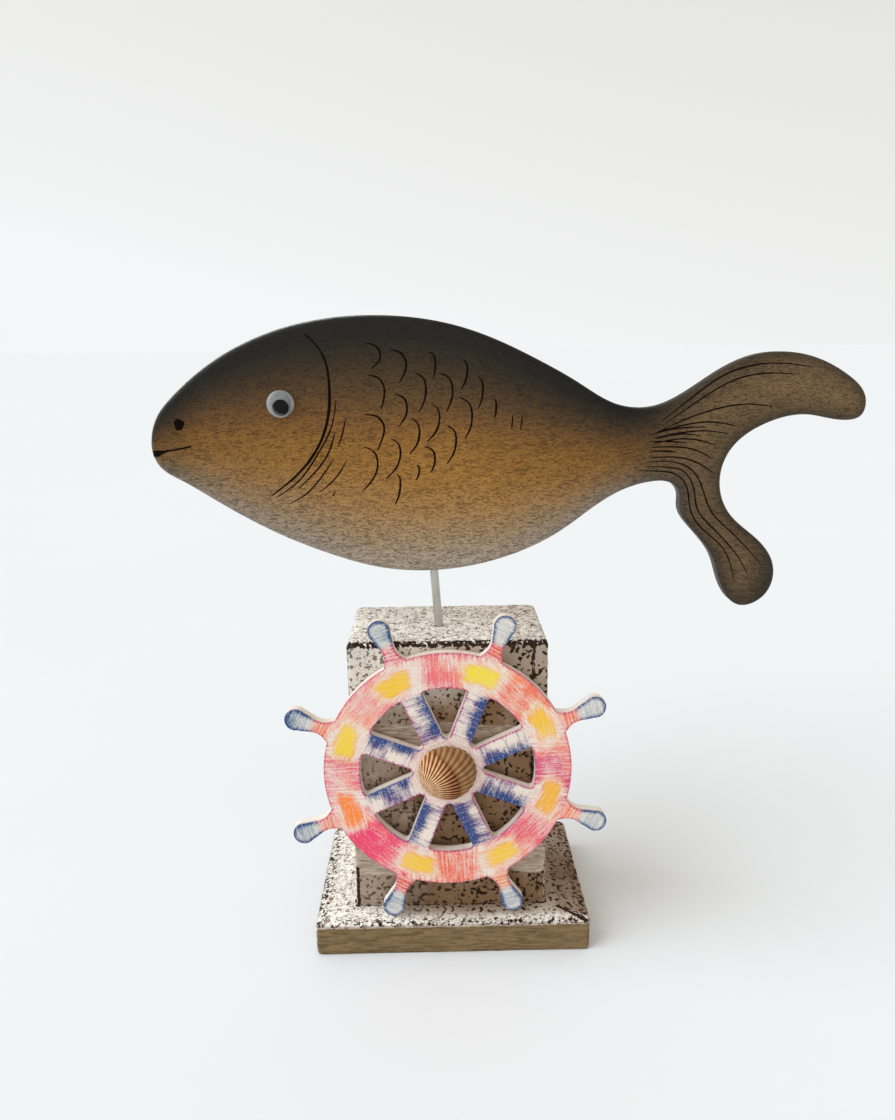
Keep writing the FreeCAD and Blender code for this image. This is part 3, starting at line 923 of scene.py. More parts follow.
@dataclass
class Stand:
    """The bevelled base, the post on it, the rod in the post, and the screws below."""

    base_half: tuple[float, float] = (50.0, 35.0)
    base_height: float = 14.0
    wall_height: float = 11.6
    bevel_run: tuple[float, float] = (11.0, 6.5)
    post_half: tuple[float, float] = (35.0, 22.5)
    post_middle: tuple[float, float] = (-0.7, -3.5)
    post_height: float = 102.5
    post_ease: float = 2.2
    rod_radius: float = 1.5
    rod_length: float = 60.0
    rod_depth: float = 24.0
    rod_lean: float = 4.0
    rod_foot: tuple[float, float] = (-3.5, -7.6)
    screw_sides: tuple[float, float] = (-18.7, 17.3)

    def base_stations(self) -> np.ndarray:
        """Rings up the base: a broken lower arris, the wall, the low bevel, and the flat's edge."""
        wall = np.linspace(1.0, self.wall_height - 0.5, 14)
        t = np.linspace(0.0, 1.0, 14)
        rise = self.base_height - self.wall_height
        bevel = np.column_stack([t * self.bevel_run[0], t * self.bevel_run[1],
                                 self.wall_height + 0.15 + t * (rise - 0.15)])
        return np.vstack([[0.6, 0.6, 0.0], [0.15, 0.15, 0.4],
                          np.column_stack([wall * 0, wall * 0, wall]),
                          [0.12, 0.12, self.wall_height - 0.1], bevel[1:]])

    def post_stations(self) -> np.ndarray:
        """Rings up the post: straight sides, then a quarter round of the eased radius."""
        foot, top = self.base_height, self.base_height + self.post_height
        side = np.linspace(foot, top - self.post_ease, 112)
        turn = np.radians(np.linspace(0, 90, 6))[1:]
        ease_in = self.post_ease * (1 - np.cos(turn))
        ease_up = top - self.post_ease * (1 - np.sin(turn))
        return np.vstack([np.column_stack([side * 0, side * 0, side]),
                          np.column_stack([ease_in, ease_in, ease_up])])

    def dress_base(self, piece: bpy.types.Object) -> None:
        """Lays the paint: bright on the left and the bevels, thin paint and a painted shadow of the post
        from the middle rightwards, bare on the wall.
        """
        place, normal = read_points(piece), read_normals(piece)
        x, y, z = place.T
        drift = cloud(place, 14.0, 21, 3)
        top = smoothstep(0.5, 0.9, normal[:, 2])
        left = 1.0 - smoothstep(-34.0, -6.0, x + 5 * drift)
        front = 1.0 - smoothstep(-33.0, -29.0, y)
        # Bright on the left and front, dark from the middle rightwards: partly thin paint, partly a painted
        # shadow of the post and wheel.
        light = 0.25 + 0.75 * left + 0.6 * front + 0.16 * drift
        # The right bevel is painted darker as shade on the side turned away from the light.
        light = light - 0.14 * smoothstep(37.0, 40.0, x)
        light = np.where(top > 0.5, light, 0.4)
        edge = self.wall_height - 0.9 + 0.5 * cloud(place, 5.0, 8, 2)
        bare = 1.0 - smoothstep(-0.4, 0.5, z - edge)
        bare = np.where(normal[:, 0] < -0.6, bare * 0.5, bare)
        # Dark lines at the wall's top crease, along the bottom by the floor, on the right mitre, round the
        # post's foot and at the flat's edge: partly dirt, partly painted shade.
        rim = bump_at(z, self.wall_height + 0.2, 0.5, 1.0) + 0.8 * (1 - smoothstep(0.4, 2.2, z))
        reach_x, reach_y = (50.0 - np.abs(x)) / self.bevel_run[0], (35.0 - np.abs(y)) / self.bevel_run[1]
        mitre = bump_at(reach_x - reach_y, 0.0, 0.05, 0.12) * (top > 0.5) * (reach_x < 1.1) * (x > 0)
        foot = bump_at(x, -0.7, 35.6, 0.8) * bump_at(y, -3.5, 23.0, 0.8) * top
        flat_edge = bump_at(np.maximum(1 - reach_x, 1 - reach_y), 0.0, 0.04, 0.1) * top
        dirt_and_shade_weight = 0.46 * rim + 0.75 * mitre + 0.6 * foot + 0.4 * flat_edge
        write_number(piece, Wood.DIRT_AND_SHADE.value, np.clip(dirt_and_shade_weight, 0.0, 0.8))
        write_number(piece, Wood.LIGHT.value, np.clip(light, 0.0, 1.0))
        write_number(piece, Wood.BARE.value, bare)
        write_number(piece, Wood.DASHES.value, np.clip(left + front * 0.9, 0.0, 1.0))

    def dress_post(self, piece: bpy.types.Object) -> None:
        """Lays the paint: white on top, fading down the front into painted shade behind the wheel, with two
        bare bands across it.
        """
        place, normal = read_points(piece), read_normals(piece)
        x, y, z = place.T
        drift = cloud(place, 16.0, 33, 3)
        top = smoothstep(0.35, 0.8, normal[:, 2])
        front = smoothstep(0.5, 0.9, -normal[:, 1])
        rightward = smoothstep(-28.0, 14.0, x)
        light = 0.70 - 0.47 * rightward
        # Darker below z 88 to 100: the wheel's shade painted onto the post's front.
        light = light - 0.5 * (1.0 - smoothstep(88.0, 100.0, z))
        light = np.where(front > 0.5, light + 0.14 * drift, 0.5 + 0.5 * drift)
        # The top is set near white, partly as painted light on the top face, and a little darker to the
        # right.
        light = light * (1 - top) + (0.98 - 0.15 * smoothstep(5, 30, x)) * top
        wander = 2.2 * cloud(place, (18.0, 50.0, 50.0), 12, 2)
        upper = bump_at(z + wander, 81.0, 4.5, 1.2)
        lower = bump_at(z - wander, 33.0, 5.5, 1.5)
        bare = np.maximum(upper, lower) * front
        arris = bump_at(z, 115.4, 0.7, 1.0) * smoothstep(22.5, 24.5, -y)
        strokes = bump_at(x, 29.0, 0.5, 0.9) * (bump_at(z, 109.5, 5.0, 2.0) + bump_at(z, 68.5, 4.0, 2.0))
        strokes = strokes + bump_at(x, 31.3, 0.5, 0.9) * bump_at(z, 21.5, 4.0, 2.0)
        strokes = (strokes + bump_at(x, -34.6, 0.4, 0.7) * bump_at(z, 22.0, 7.0, 2.0)) * front
        seams = bump_at(z + wander, 87.4, 0.15, 0.6) + bump_at(z - wander, 27.0, 0.15, 0.6)
        wear_and_highlight = bump_at(np.abs(x + 0.7), 34.6, 0.3, 1.0) * 0.36
        dirt_and_shade_weight = 0.62 * arris + 0.62 * strokes + 0.45 * seams * front + wear_and_highlight
        write_number(piece, Wood.DIRT_AND_SHADE.value, np.clip(dirt_and_shade_weight, 0.0, 0.8))
        write_number(piece, Wood.LIGHT.value, np.clip(light, 0.0, 1.0))
        write_number(piece, Wood.BARE.value, bare)
        write_number(piece, Wood.DASHES.value, np.clip(top + 0.35 * (1 - rightward), 0.0, 1.0))

    def build(self) -> list[bpy.types.Object]:
        """Makes and dresses the base, the post and the rod, with pockets for the screws under the base."""
        paint = CrackledPaint("crackled_cream_emulsion_on_pine")
        screws = tuple(Pocket(x, -3.5, 4.4, 3.8) for x in self.screw_sides)
        base = WornBlock("base_block", (0.0, 0.0), self.base_half, self.base_stations(), 1.5, 0.9,
                         bottom_pockets=screws, seed=3).build(paint.make())
        self.dress_base(base)
        hole = Pocket(self.rod_foot[0], self.rod_foot[1], self.rod_radius + 0.3, 3.0)
        post = WornBlock("post_block", self.post_middle, self.post_half, self.post_stations(), 1.3, 0.9,
                         top_pockets=(hole,), lumps=0.2, seed=14)
        post_paint = CrackledPaint("crackled_cream_emulsion_on_post", dash_mm=(1.9, 0.95, 0.95),
                                  wood_light="#C4B3A2", wood_dark="#7D6B5B")
        post_piece = post.build(post_paint.make())
        self.dress_post(post_piece)
        return [base, post_piece, self.rod()]

    def rod(self) -> bpy.types.Object:
        """Makes the rod: a drawn bar with broken ends, along its lean."""
        lean = math.radians(self.rod_lean)
        axis = np.array([-math.sin(lean), 0.0, math.cos(lean)])
        top = np.array([*self.rod_foot, self.base_height + self.post_height])
        length = np.linspace(0.4, self.rod_length - 0.4, 60)
        r = self.rod_radius
        side = np.column_stack([r - 0.012 * (1 + np.sin(length * 1.7)), length])
        profile = np.vstack([[0, 0], [r - 0.35, 0], side, [r - 0.35, self.rod_length],
                             [0, self.rod_length]])
        steel = Mottled("satin_drawn_steel", "#C9C8C2", "#B4B2A9", (0.6, 0.6, 9.0), (0.34, 0.5),
                        metallic=1.0, bump_mm=0.01)
        return put_mesh("rod", *turned(profile, top - axis * self.rod_depth, axis, 48),
                        [steel.make()])


# ---------------------------------------------------------------- boards sawn to an outline


@dataclass
class SawnBoard:
    """A flat board sawn to an outline, with gaps and rounded edges.

    Its surface carries the outline's loops along a profile of (inset, depth) stations, and fills
    both faces inside the last loops.
    """

    loops: list[np.ndarray]
    thick: float
    edge_round: float
    round_steps: int
    wall_steps: int
    fill_step: float

    def stations(self) -> np.ndarray:
        """Inset and depth from the front face to the back: quarter round, wall, quarter round."""
        turn = np.radians(np.linspace(0, 90, self.round_steps + 1))
        front = np.column_stack([self.edge_round * (1 - np.sin(turn)),
                                 self.edge_round * (1 - np.cos(turn))])
        wall = np.linspace(self.edge_round, self.thick - self.edge_round, self.wall_steps + 1)[1:-1]
        back = np.column_stack([front[::-1, 0], self.thick - front[::-1, 1]])
        return np.vstack([front, np.column_stack([wall * 0, wall]), back])

    def inset(self, distance: float) -> list[np.ndarray]:
        """Every loop moved into the material by a distance along its normals."""
        return [loop - outward(loop) * distance for loop in self.loops]

    def surface(self) -> tuple[np.ndarray, list]:
        """The board's closed surface.

        Returns:
            Points as (across, up, depth from the front face), and faces.
        """
        stations = self.stations()
        flat, cap = fill_flat(self.inset(stations[0, 0]), self.fill_step)
        rim = sum(len(loop) for loop in self.loops)
        points = [np.column_stack([flat, np.zeros(len(flat))])]
        faces = list(cap)
        offsets = [0]
        total = len(flat)
        for inset, depth in stations[1:-1].tolist():
            loops = np.concatenate(self.inset(inset))
            points.append(np.column_stack([loops, np.full(rim, depth)]))
            offsets.append(total)
            total += rim
        offsets.append(total)
        points.append(np.column_stack([flat, np.full(len(flat), self.thick)]))
        faces += (np.array(cap)[:, ::-1] + total).tolist()
        start = 0
        for loop in self.loops:
            number = np.arange(len(loop)) + start
            for here, there in zip(offsets[:-1], offsets[1:]):
                faces += ring_faces(number + here, number + there)
            start += len(loop)
        return np.vstack(points), faces


@dataclass(frozen=True)
class Stroke:
    """One pen stroke on the fish, in millimetres along and above the tip of its nose."""

    width: float
    knots: tuple[tuple[float, float], ...]
    blunt_start: bool = False


GILLS = (
    Stroke(1.15, ((54, 34), (59.5, 27.5), (61.5, 17.5), (60.7, 6.5), (56.5, -4.3), (48, -14.2),
                  (40, -20.3))),
    Stroke(0.7, ((63.6, 12), (62.7, 6.6), (60.8, 1), (56.7, -6), (49.7, -15.2), (41.5, -21))),
    Stroke(0.7, ((62.8, 1.4), (60.1, -6.1), (54.7, -13), (49.3, -18))),
    Stroke(0.65, ((62, -7.8), (57.3, -14.3), (51, -20.5), (46.6, -22.9))),
    Stroke(0.6, ((66.6, 6), (65.4, 1), (63.6, -3.7))),
    Stroke(0.6, ((66.5, -8.2), (62.5, -14.2), (56.8, -19.2))),
    Stroke(0.6, ((62, -19), (61.6, -19.9), (60.9, -20.6))),
)
SCALES = (
    ((74.2, 30.6), (79, 26.5), (75.6, 22.2)), ((74.7, 20.2), (80, 15.2), (78.7, 8.7)),
    ((73, 7.1), (79.5, 3.2), (77, -5.3)), ((72.5, -3.9), (77, -9.7), (71.6, -19)),
    ((82.3, 28.3), (87.5, 23.7), (85, 17.5)), ((83.4, 13.8), (87.5, 9), (84.6, 3)),
    ((81.8, -1.3), (84.9, -6.4), (79.7, -15)), ((83.5, -13.3), (84.6, -17), (82.6, -24)),
    ((90.4, 20.7), (94, 15), (91.5, 7.7)), ((89, 5.7), (91.5, 0), (88, -6.5)),
    ((90.5, -10.3), (91.2, -12.5), (90, -15.5)), ((95, 27.5), (97.3, 24), (96.6, 19)),
    ((98.3, 20.6), (103, 14.6), (100.7, 7.6)), ((96, 10.3), (98.4, 4.8), (94, -2.4)),
    ((93.3, -4), (96.7, -8.3), (95.2, -12.8)), ((106.4, 25), (108, 21), (105.8, 15)),
    ((105, 12.6), (109.5, 5.5), (107, -1.6)), ((101, 3), (104, -2.5), (100.8, -10)),
    ((111.6, 19.4), (113.2, 14.4), (111.5, 8.5)), ((117, 12), (117.7, 8.7), (117, 5)),
    ((123.3, 6.3), (123.2, 4), (123, 1.6)), ((126.5, 5.6), (126.3, 3.2), (126, 1.2)),
)
TAIL_LINES = (
    ((174.3, 3.6), (185.3, 12.2), (195.3, 19), (205.6, 22), (213.7, 22.4), (224.6, 21)),
    ((175.4, 2.6), (187.6, 11), (197.5, 16.7), (206.8, 19), (219, 18.7)),
    ((172.4, -0.5), (183.5, 4.5), (194, 7.7), (202, 8.9), (212, 8)),
    ((172.8, -0.1), (183.6, 2.4), (192, 3), (200, 1.5)),
    ((170.4, -1.1), (180.6, 1.1), (189.5, 1.3)),
    ((171.8, -2.2), (182.7, -0.3), (190.3, 0), (197.6, -1.1)),
    ((172.5, -2.5), (180.7, -0.9), (188.3, -1.7)),
    ((171.6, -4.2), (180.8, -2.6), (187, -3.1), (193, -4.8)),
    ((170.5, -3.5), (176.7, -3.4), (183, -4)),
    ((171, -5.4), (179, -5.3), (186.3, -6.5), (192.6, -9.7)),
    ((170.7, -6.8), (175.5, -6.7), (180, -7.1)),
    ((171, -9), (179, -8.8), (186.6, -10.6), (193, -14.5)),
    ((169.6, -10.4), (179, -10.5), (185.5, -13.4), (189.7, -20.4), (193, -28), (199.7, -34.8), (211.6, -47)),
    ((169, -12), (176, -12.2), (182.4, -13.7), (186.6, -20.4), (188, -26.8), (193.3, -33.4), (200, -40.2),
     (204.3, -45.7), (207.6, -51.5)),
    ((166.8, -13.3), (174, -13.6), (180.4, -15), (184, -19.3), (185.5, -26.7), (189.4, -33.4), (197, -40.2),
     (200.4, -45.7), (202.7, -53.4)),
)


@dataclass
class Fish:
    """The fish board, its airbrushed colour and its pen strokes."""

    length: float = 244.5
    thick: float = 8.0
    edge_round: float = 2.0
    nose: tuple[float, float] = (-100.7, 186.0)
    front: float = -11.6
    outline_points: int = 900
    knots: tuple[tuple[float, float], ...] = (
        (0, 0), (0.4, -6.6), (2.8, -10.6), (9, -14.7), (18, -20.3), (31.6, -28.7), (44.2, -35.3),
        (59.7, -41.7), (74.8, -46.3), (95, -48.1), (120.3, -43.8), (140.8, -34.3), (157.7, -22.4),
        (171.6, -17.5), (179.8, -18.7), (181.9, -21.9), (182.2, -27), (186.1, -33.7), (194.9, -45),
        (199.1, -56.5), (205.4, -62.8), (214.3, -59.4), (216.9, -48.3), (211.8, -39.8), (200, -29.1),
        (196, -18.7), (198.6, -7.4), (210.8, 2.2), (225.5, 4.9), (238.3, 2.9), (243.2, 4.3),
        (244.5, 9.8), (237.9, 18.1), (222.7, 25.2), (205.1, 25.1), (190.9, 18.2), (171.5, 8.2),
        (158.8, 9.5), (146, 16.7), (132.3, 24.4), (119.1, 30.8), (107, 35.3), (94.4, 38.2),
        (79.5, 39.6), (67.2, 39.4), (42.6, 34.7), (20.7, 24.1), (7.6, 13.4), (3, 8.1),
    )
    outline: np.ndarray = field(init=False)

    def __post_init__(self) -> None:
        """Draws the outline once."""
        self.outline = spline(self.knots, self.outline_points, True)

    def in_place(self, points: np.ndarray) -> np.ndarray:
        """Turns (along, up, depth behind the front face) into the shared frame."""
        return np.column_stack([points[:, 0] + self.nose[0], self.front + points[:, 2],
                                points[:, 1] + self.nose[1]])

    def face_depth(self, flat: np.ndarray) -> np.ndarray:
        """How far the rounded edge has fallen behind the front face at flat points.

        A quarter circle: r less the root of r^2 - (r - d)^2, with d the distance to the outline.
        """
        r = self.edge_round
        near = np.clip(r - clearance(flat, self.outline), 0.0, r)
        return r - np.sqrt(r * r - near * near)

    def airbrush(self, points: np.ndarray) -> np.ndarray:
        """The stain's colour: dark back, golden flank and grey belly, darker to nose and tail.

        The fraction down the vertical chord picks the tone on the body; on the tail's two lobes it
        is the distance from the dark edge that does.

        Args:
            points: (along, up, depth behind the front face).

        Returns:
            Linear colours.
        """
        flat = points[:, :2]
        x, z = flat.T
        back = np.array([k for k in self.knots if k[1] > 8.0 and k[0] < 172] + [(0.0, 0.0)])
        back = back[np.argsort(back[:, 0])]
        belly = np.array([k for k in self.knots if k[1] < 0 and k[0] < 175] + [(0.0, 0.0)])
        belly = belly[np.argsort(belly[:, 0])]
        top, bottom = np.interp(x, back[:, 0], back[:, 1]), np.interp(x, belly[:, 0], belly[:, 1])
        down = np.clip((top - z) / np.maximum(top - bottom, 1.0), 0.0, 1.0)
        soft = cloud(np.column_stack([x, z, x * 0]), (24.0, 9.0, 9.0), 4, 3)
        down = np.clip(down + 0.02 * soft, 0.0, 1.0)
        body = ramp(down, ((0.0, "#171613"), (0.08, "#1D1A13"), (0.2, "#3E2F1A"), (0.3, "#5A4022"),
                           (0.4, "#775226"), (0.5, "#8C6229"), (0.62, "#976B30"), (0.75, "#9D7647"),
                           (0.87, "#9C8364"), (0.94, "#9B8A78"), (1.0, "#9C9185")))
        along = np.interp(x, (0, 8, 20, 50, 80, 110, 130, 150, 160, 172, 185),
                          (0.44, 0.5, 0.74, 0.88, 1.0, 1.0, 0.88, 0.7, 0.54, 0.36, 0.3))
        body = body * along[:, None]
        rim = clearance(flat, self.outline)
        low_lobe = smoothstep(8.0, 18.0, -z)
        lobe_tone = ramp(np.clip(rim / 11.0, 0, 1), ((0.0, "#332A1F"), (0.3, "#57462F"), (1.0, "#6C5539")))
        tip = smoothstep(196.0, 232.0, x)[:, None] * (1 - low_lobe[:, None])
        lobe_tone = lobe_tone * (1 + 0.25 * tip)
        dusk = (low_lobe * smoothstep(205.0, 224.0, x - 0.35 * (z + 40)))[:, None]
        lobe_tone = mixed(lobe_tone, colour_of("#2D271E"), dusk)
        # A light grey band on the front round-over of the head's upper edge: a painted highlight where the
        # edge catches the light.
        wear_and_highlight = (1 - smoothstep(0.3, 0.62, rim)) * (z > -8) * (1 - smoothstep(52.0, 92.0, x))
        wear_and_highlight = wear_and_highlight * smoothstep(-0.5, 0.3, soft + 0.5) * (1 - smoothstep(1.2, 2.4, points[:, 2]))
        body = mixed(body, colour_of("#8C8E89"), wear_and_highlight[:, None])
        waist = smoothstep(160.0, 192.0, x)[:, None]
        return body * (1 - waist) + lobe_tone * waist * (0.86 + 0.14 * waist)

    def ribbon(self, stroke: Stroke) -> tuple[np.ndarray, list]:
        """A low rounded ribbon, thinning to its ends, its flat underside sunk in the board.

        Args:
            stroke: the pen stroke.

        Returns:
            Points and faces.
        """
        line = spline(stroke.knots, 44, False)
        ahead = np.gradient(line, axis=0)
        side = np.column_stack([-ahead[:, 1], ahead[:, 0]])
        side /= np.linalg.norm(side, axis=1, keepdims=True)
        t = np.linspace(0.0, 1.0, len(line))
        if stroke.blunt_start:
            half = 0.5 * stroke.width * (0.28 + 0.72 * (1 - smoothstep(0.0, 0.5, t)))
        else:
            half = 0.5 * stroke.width * (0.3 + 0.7 * np.sin(math.pi * t) ** 0.5)
        jitter = cloud(np.column_stack([line, line[:, :1] * 0]), 2.4, 9, 2)
        half = half * (1 + 0.22 * jitter)
        across = np.array([-1.0, -0.8, 0.0, 0.8, 1.0])
        lift = np.array([-0.05, 0.03, 0.045, 0.03, -0.05])
        flat = line[:, None, :] + side[:, None, :] * (half[:, None] * across)[:, :, None]
        depth = self.face_depth(flat.reshape(-1, 2)).reshape(len(line), 5) - lift
        points = np.dstack([flat, depth]).reshape(-1, 3)
        number = np.arange(len(points)).reshape(len(line), 5)
        next_in = np.roll(number, -1, axis=1)
        quads = np.stack([number[:-1], number[1:], next_in[1:], next_in[:-1]], axis=-1)
        ends = [number[0].tolist(), number[-1][::-1].tolist()]
        return points, quads.reshape(-1, 4).tolist() + ends

    def blot(self, middle: tuple[float, float], size: tuple[float, float]) -> tuple[np.ndarray, list]:
        """A raised ink blot: rings from its uneven edge to its middle."""
        around = 32
        turn = np.linspace(0, 2 * math.pi, around, endpoint=False)
        wobble = 1 + 0.09 * np.sin(turn * 3 + 1) + 0.06 * np.sin(turn * 5)
        edge = np.column_stack([np.cos(turn) * size[0], np.sin(turn) * size[1]]) * wobble[:, None]
        shares, lifts = np.array([1.0, 0.88, 0.45]), np.array([-0.05, 0.05, 0.08])
        flat = np.asarray(middle) + shares[:, None, None] * edge[None]
        rings = np.dstack([flat, np.repeat(-lifts[:, None], around, axis=1)]).reshape(-1, 3)
        points = np.vstack([rings, [[*middle, -0.09]]])
        number = np.arange(len(rings)).reshape(len(shares), around)
        faces = ring_faces(number[0], number[1]) + ring_faces(number[1], number[2])
        faces.append(number[0][::-1].tolist())
        fan = np.column_stack([number[2], np.roll(number[2], -1), np.full(around, len(rings))])
        return points, faces + fan.tolist()

    def hooked(self, start: tuple, middle: tuple, end: tuple) -> tuple:
        """A scale's arc: it leaves its start sideways and turns down, as two quarter ellipses do.

        Args:
            start: its upper end.
            middle: its furthest point towards the tail.
            end: its lower end.

        Returns:
            Five knots.
        """
        across, fall = middle[0] - start[0], middle[1] - start[1]
        shoulder = (start[0] + 0.72 * across, start[1] + 0.27 * fall)
        heel = (middle[0] - 0.26 * (middle[0] - end[0]), middle[1] + 0.5 * (end[1] - middle[1]))
        return start, shoulder, middle, heel, end

    def strokes(self) -> list[Stroke]:
        """Every pen stroke: gills, scales, tail lines and the mouth."""
        lines = list(GILLS)
        lines += [Stroke(0.8, self.hooked(*knots)) for knots in SCALES[:-2]]
        lines += [Stroke(0.6, tick) for tick in SCALES[-2:]]
        lines += [Stroke(0.62, knots) for knots in TAIL_LINES]
        lines.append(Stroke(2.4, ((0.4, -5.3), (2.6, -5.0), (5.2, -4.4), (9.2, -3.8), (13.8, -2.8)), True))
        return lines

    def build(self) -> list[bpy.types.Object]:
        """Makes the board and its ink."""
        board = SawnBoard([self.outline], self.thick, self.edge_round, 6, 3, 1.5)
        points, faces = board.surface()
        piece = put_mesh("fish_board", self.in_place(points), faces, [AirbrushedStain().make()], 60.0)
        write_colour(piece, "airbrush", self.airbrush(points))
        ink_points, ink_faces = [], []
        total = 0
        for made in [self.ribbon(stroke) for stroke in self.strokes()] + [
            self.blot((10.2, 4.6), (1.85, 2.1))
        ]:
            ink_points.append(made[0])
            ink_faces += [[v + total for v in face] for face in made[1]]
            total += len(made[0])
        ink = Mottled("brown_black_pen_ink", "#0A0503", "#140B06", (1.5, 1.5, 1.5), (0.5, 0.65),
                      specular=0.04)
        lines = put_mesh("ink_lines", self.in_place(np.vstack(ink_points)), ink_faces, [ink.make()])
        return [piece, self.turned_out(lines)]

    def turned_out(self, lines: bpy.types.Object) -> bpy.types.Object:
        """Turns every stroke's faces outward."""
        work = bmesh.new()
        work.from_mesh(lines.data)
        bmesh.ops.recalc_face_normals(work, faces=work.faces)
        work.to_mesh(lines.data)
        work.free()
        return lines


@dataclass
class Eye:
    """A stick-on eye: white backing, clear hollow dome, and a loose black pupil in it."""

    centre: tuple[float, float] = (-55.7, 197.1)
    front: float = -11.6
    radius: float = 4.5
    backing: float = 0.7
    dome: float = 2.4
    sag: float = 1.2
    wall: float = 0.25
    pupil_radius: float = 2.75
    pupil_thick: float = 0.5
    gap: float = 0.25

    def cap(self, radius: float, top: float, sag: float, start: float) -> np.ndarray:
        """A dome's profile from its pole to its rim: a circle of the sag's own radius, then the side."""
        ball = (radius**2 + sag**2) / (2 * sag)
        r = np.linspace(0.0, radius, 14)
        height = top - ball + np.sqrt(ball**2 - r**2)
        return np.vstack([np.column_stack([r, height]), [[radius, start]]])

    def on_axis(self, profile: np.ndarray, drop: float = 0.0) -> tuple[np.ndarray, list]:
        """Revolves a profile about the eye's own axis, which points to the front."""
        origin = (self.centre[0], self.front, self.centre[1] - drop)
        return turned(profile, origin, (0.0, -1.0, 0.0), 64)

    def build(self) -> list[bpy.types.Object]:
        """Makes the three pieces."""
        r, b = self.radius, self.backing
        disc = np.array([[0, 0.05], [r - 0.15, 0.05], [r, 0.15], [r, b - 0.12], [r - 0.12, b],
                         [r - 0.6, b], [r - 0.75, b - 0.1], [r - 1.1, b - 0.12], [r - 2.6, b - 0.12],
                         [0, b - 0.12]])
        start = b + 0.05
        outer = self.cap(r, start + self.dome, self.sag, start)
        inner = self.cap(r - self.wall, start + self.dome - self.wall, self.sag - self.wall / 2, start)
        low = b + self.gap
        p, h = self.pupil_radius, self.pupil_thick
        bead = np.array([[0, low], [p - 0.12, low], [p, low + 0.12], [p, low + h - 0.14],
                         [p - 0.15, low + h], [p - 0.6, low + h], [0, low + h]])
        hang = r - self.wall - p - self.gap
        white = Mottled("white_pressed_card", "#D0D2D5", "#DEE0E2", (2.6, 2.6, 2.6), (0.45, 0.6),
                        tint="shade")
        black = Mottled("black_pressed_plastic", "#030405", "#0A0B0D", (1.2, 1.2, 1.2), (0.35, 0.5),
                        specular=0.2)
        made = [put_mesh("eye_back", *self.on_axis(disc), [white.make()]),
                put_mesh("eye_cover", *self.on_axis(np.vstack([outer, inner[::-1]])),
                         [ClearPlastic().make()]),
                put_mesh("pupil_disc", *self.on_axis(bead, hang), [black.make()])]
        # The white backing is darkened to grey as painted shade under the dome, most to the lower right,
        # leaving its outer ring lighter.
        spot = read_points(made[0])
        right, up = spot[:, 0] - self.centre[0], spot[:, 2] - self.centre[1]
        ring = smoothstep(r - 1.1, r - 0.7, np.hypot(right, up))
        level = 0.36 + 0.12 * smoothstep(-3.0, 3.0, up - right)
        shade = np.repeat((level + (0.78 - level) * ring)[:, None], 3, axis=1)
        write_colour(made[0], "shade", shade)
        return made


# ---------------------------------------------------------------- ship's wheel and shell


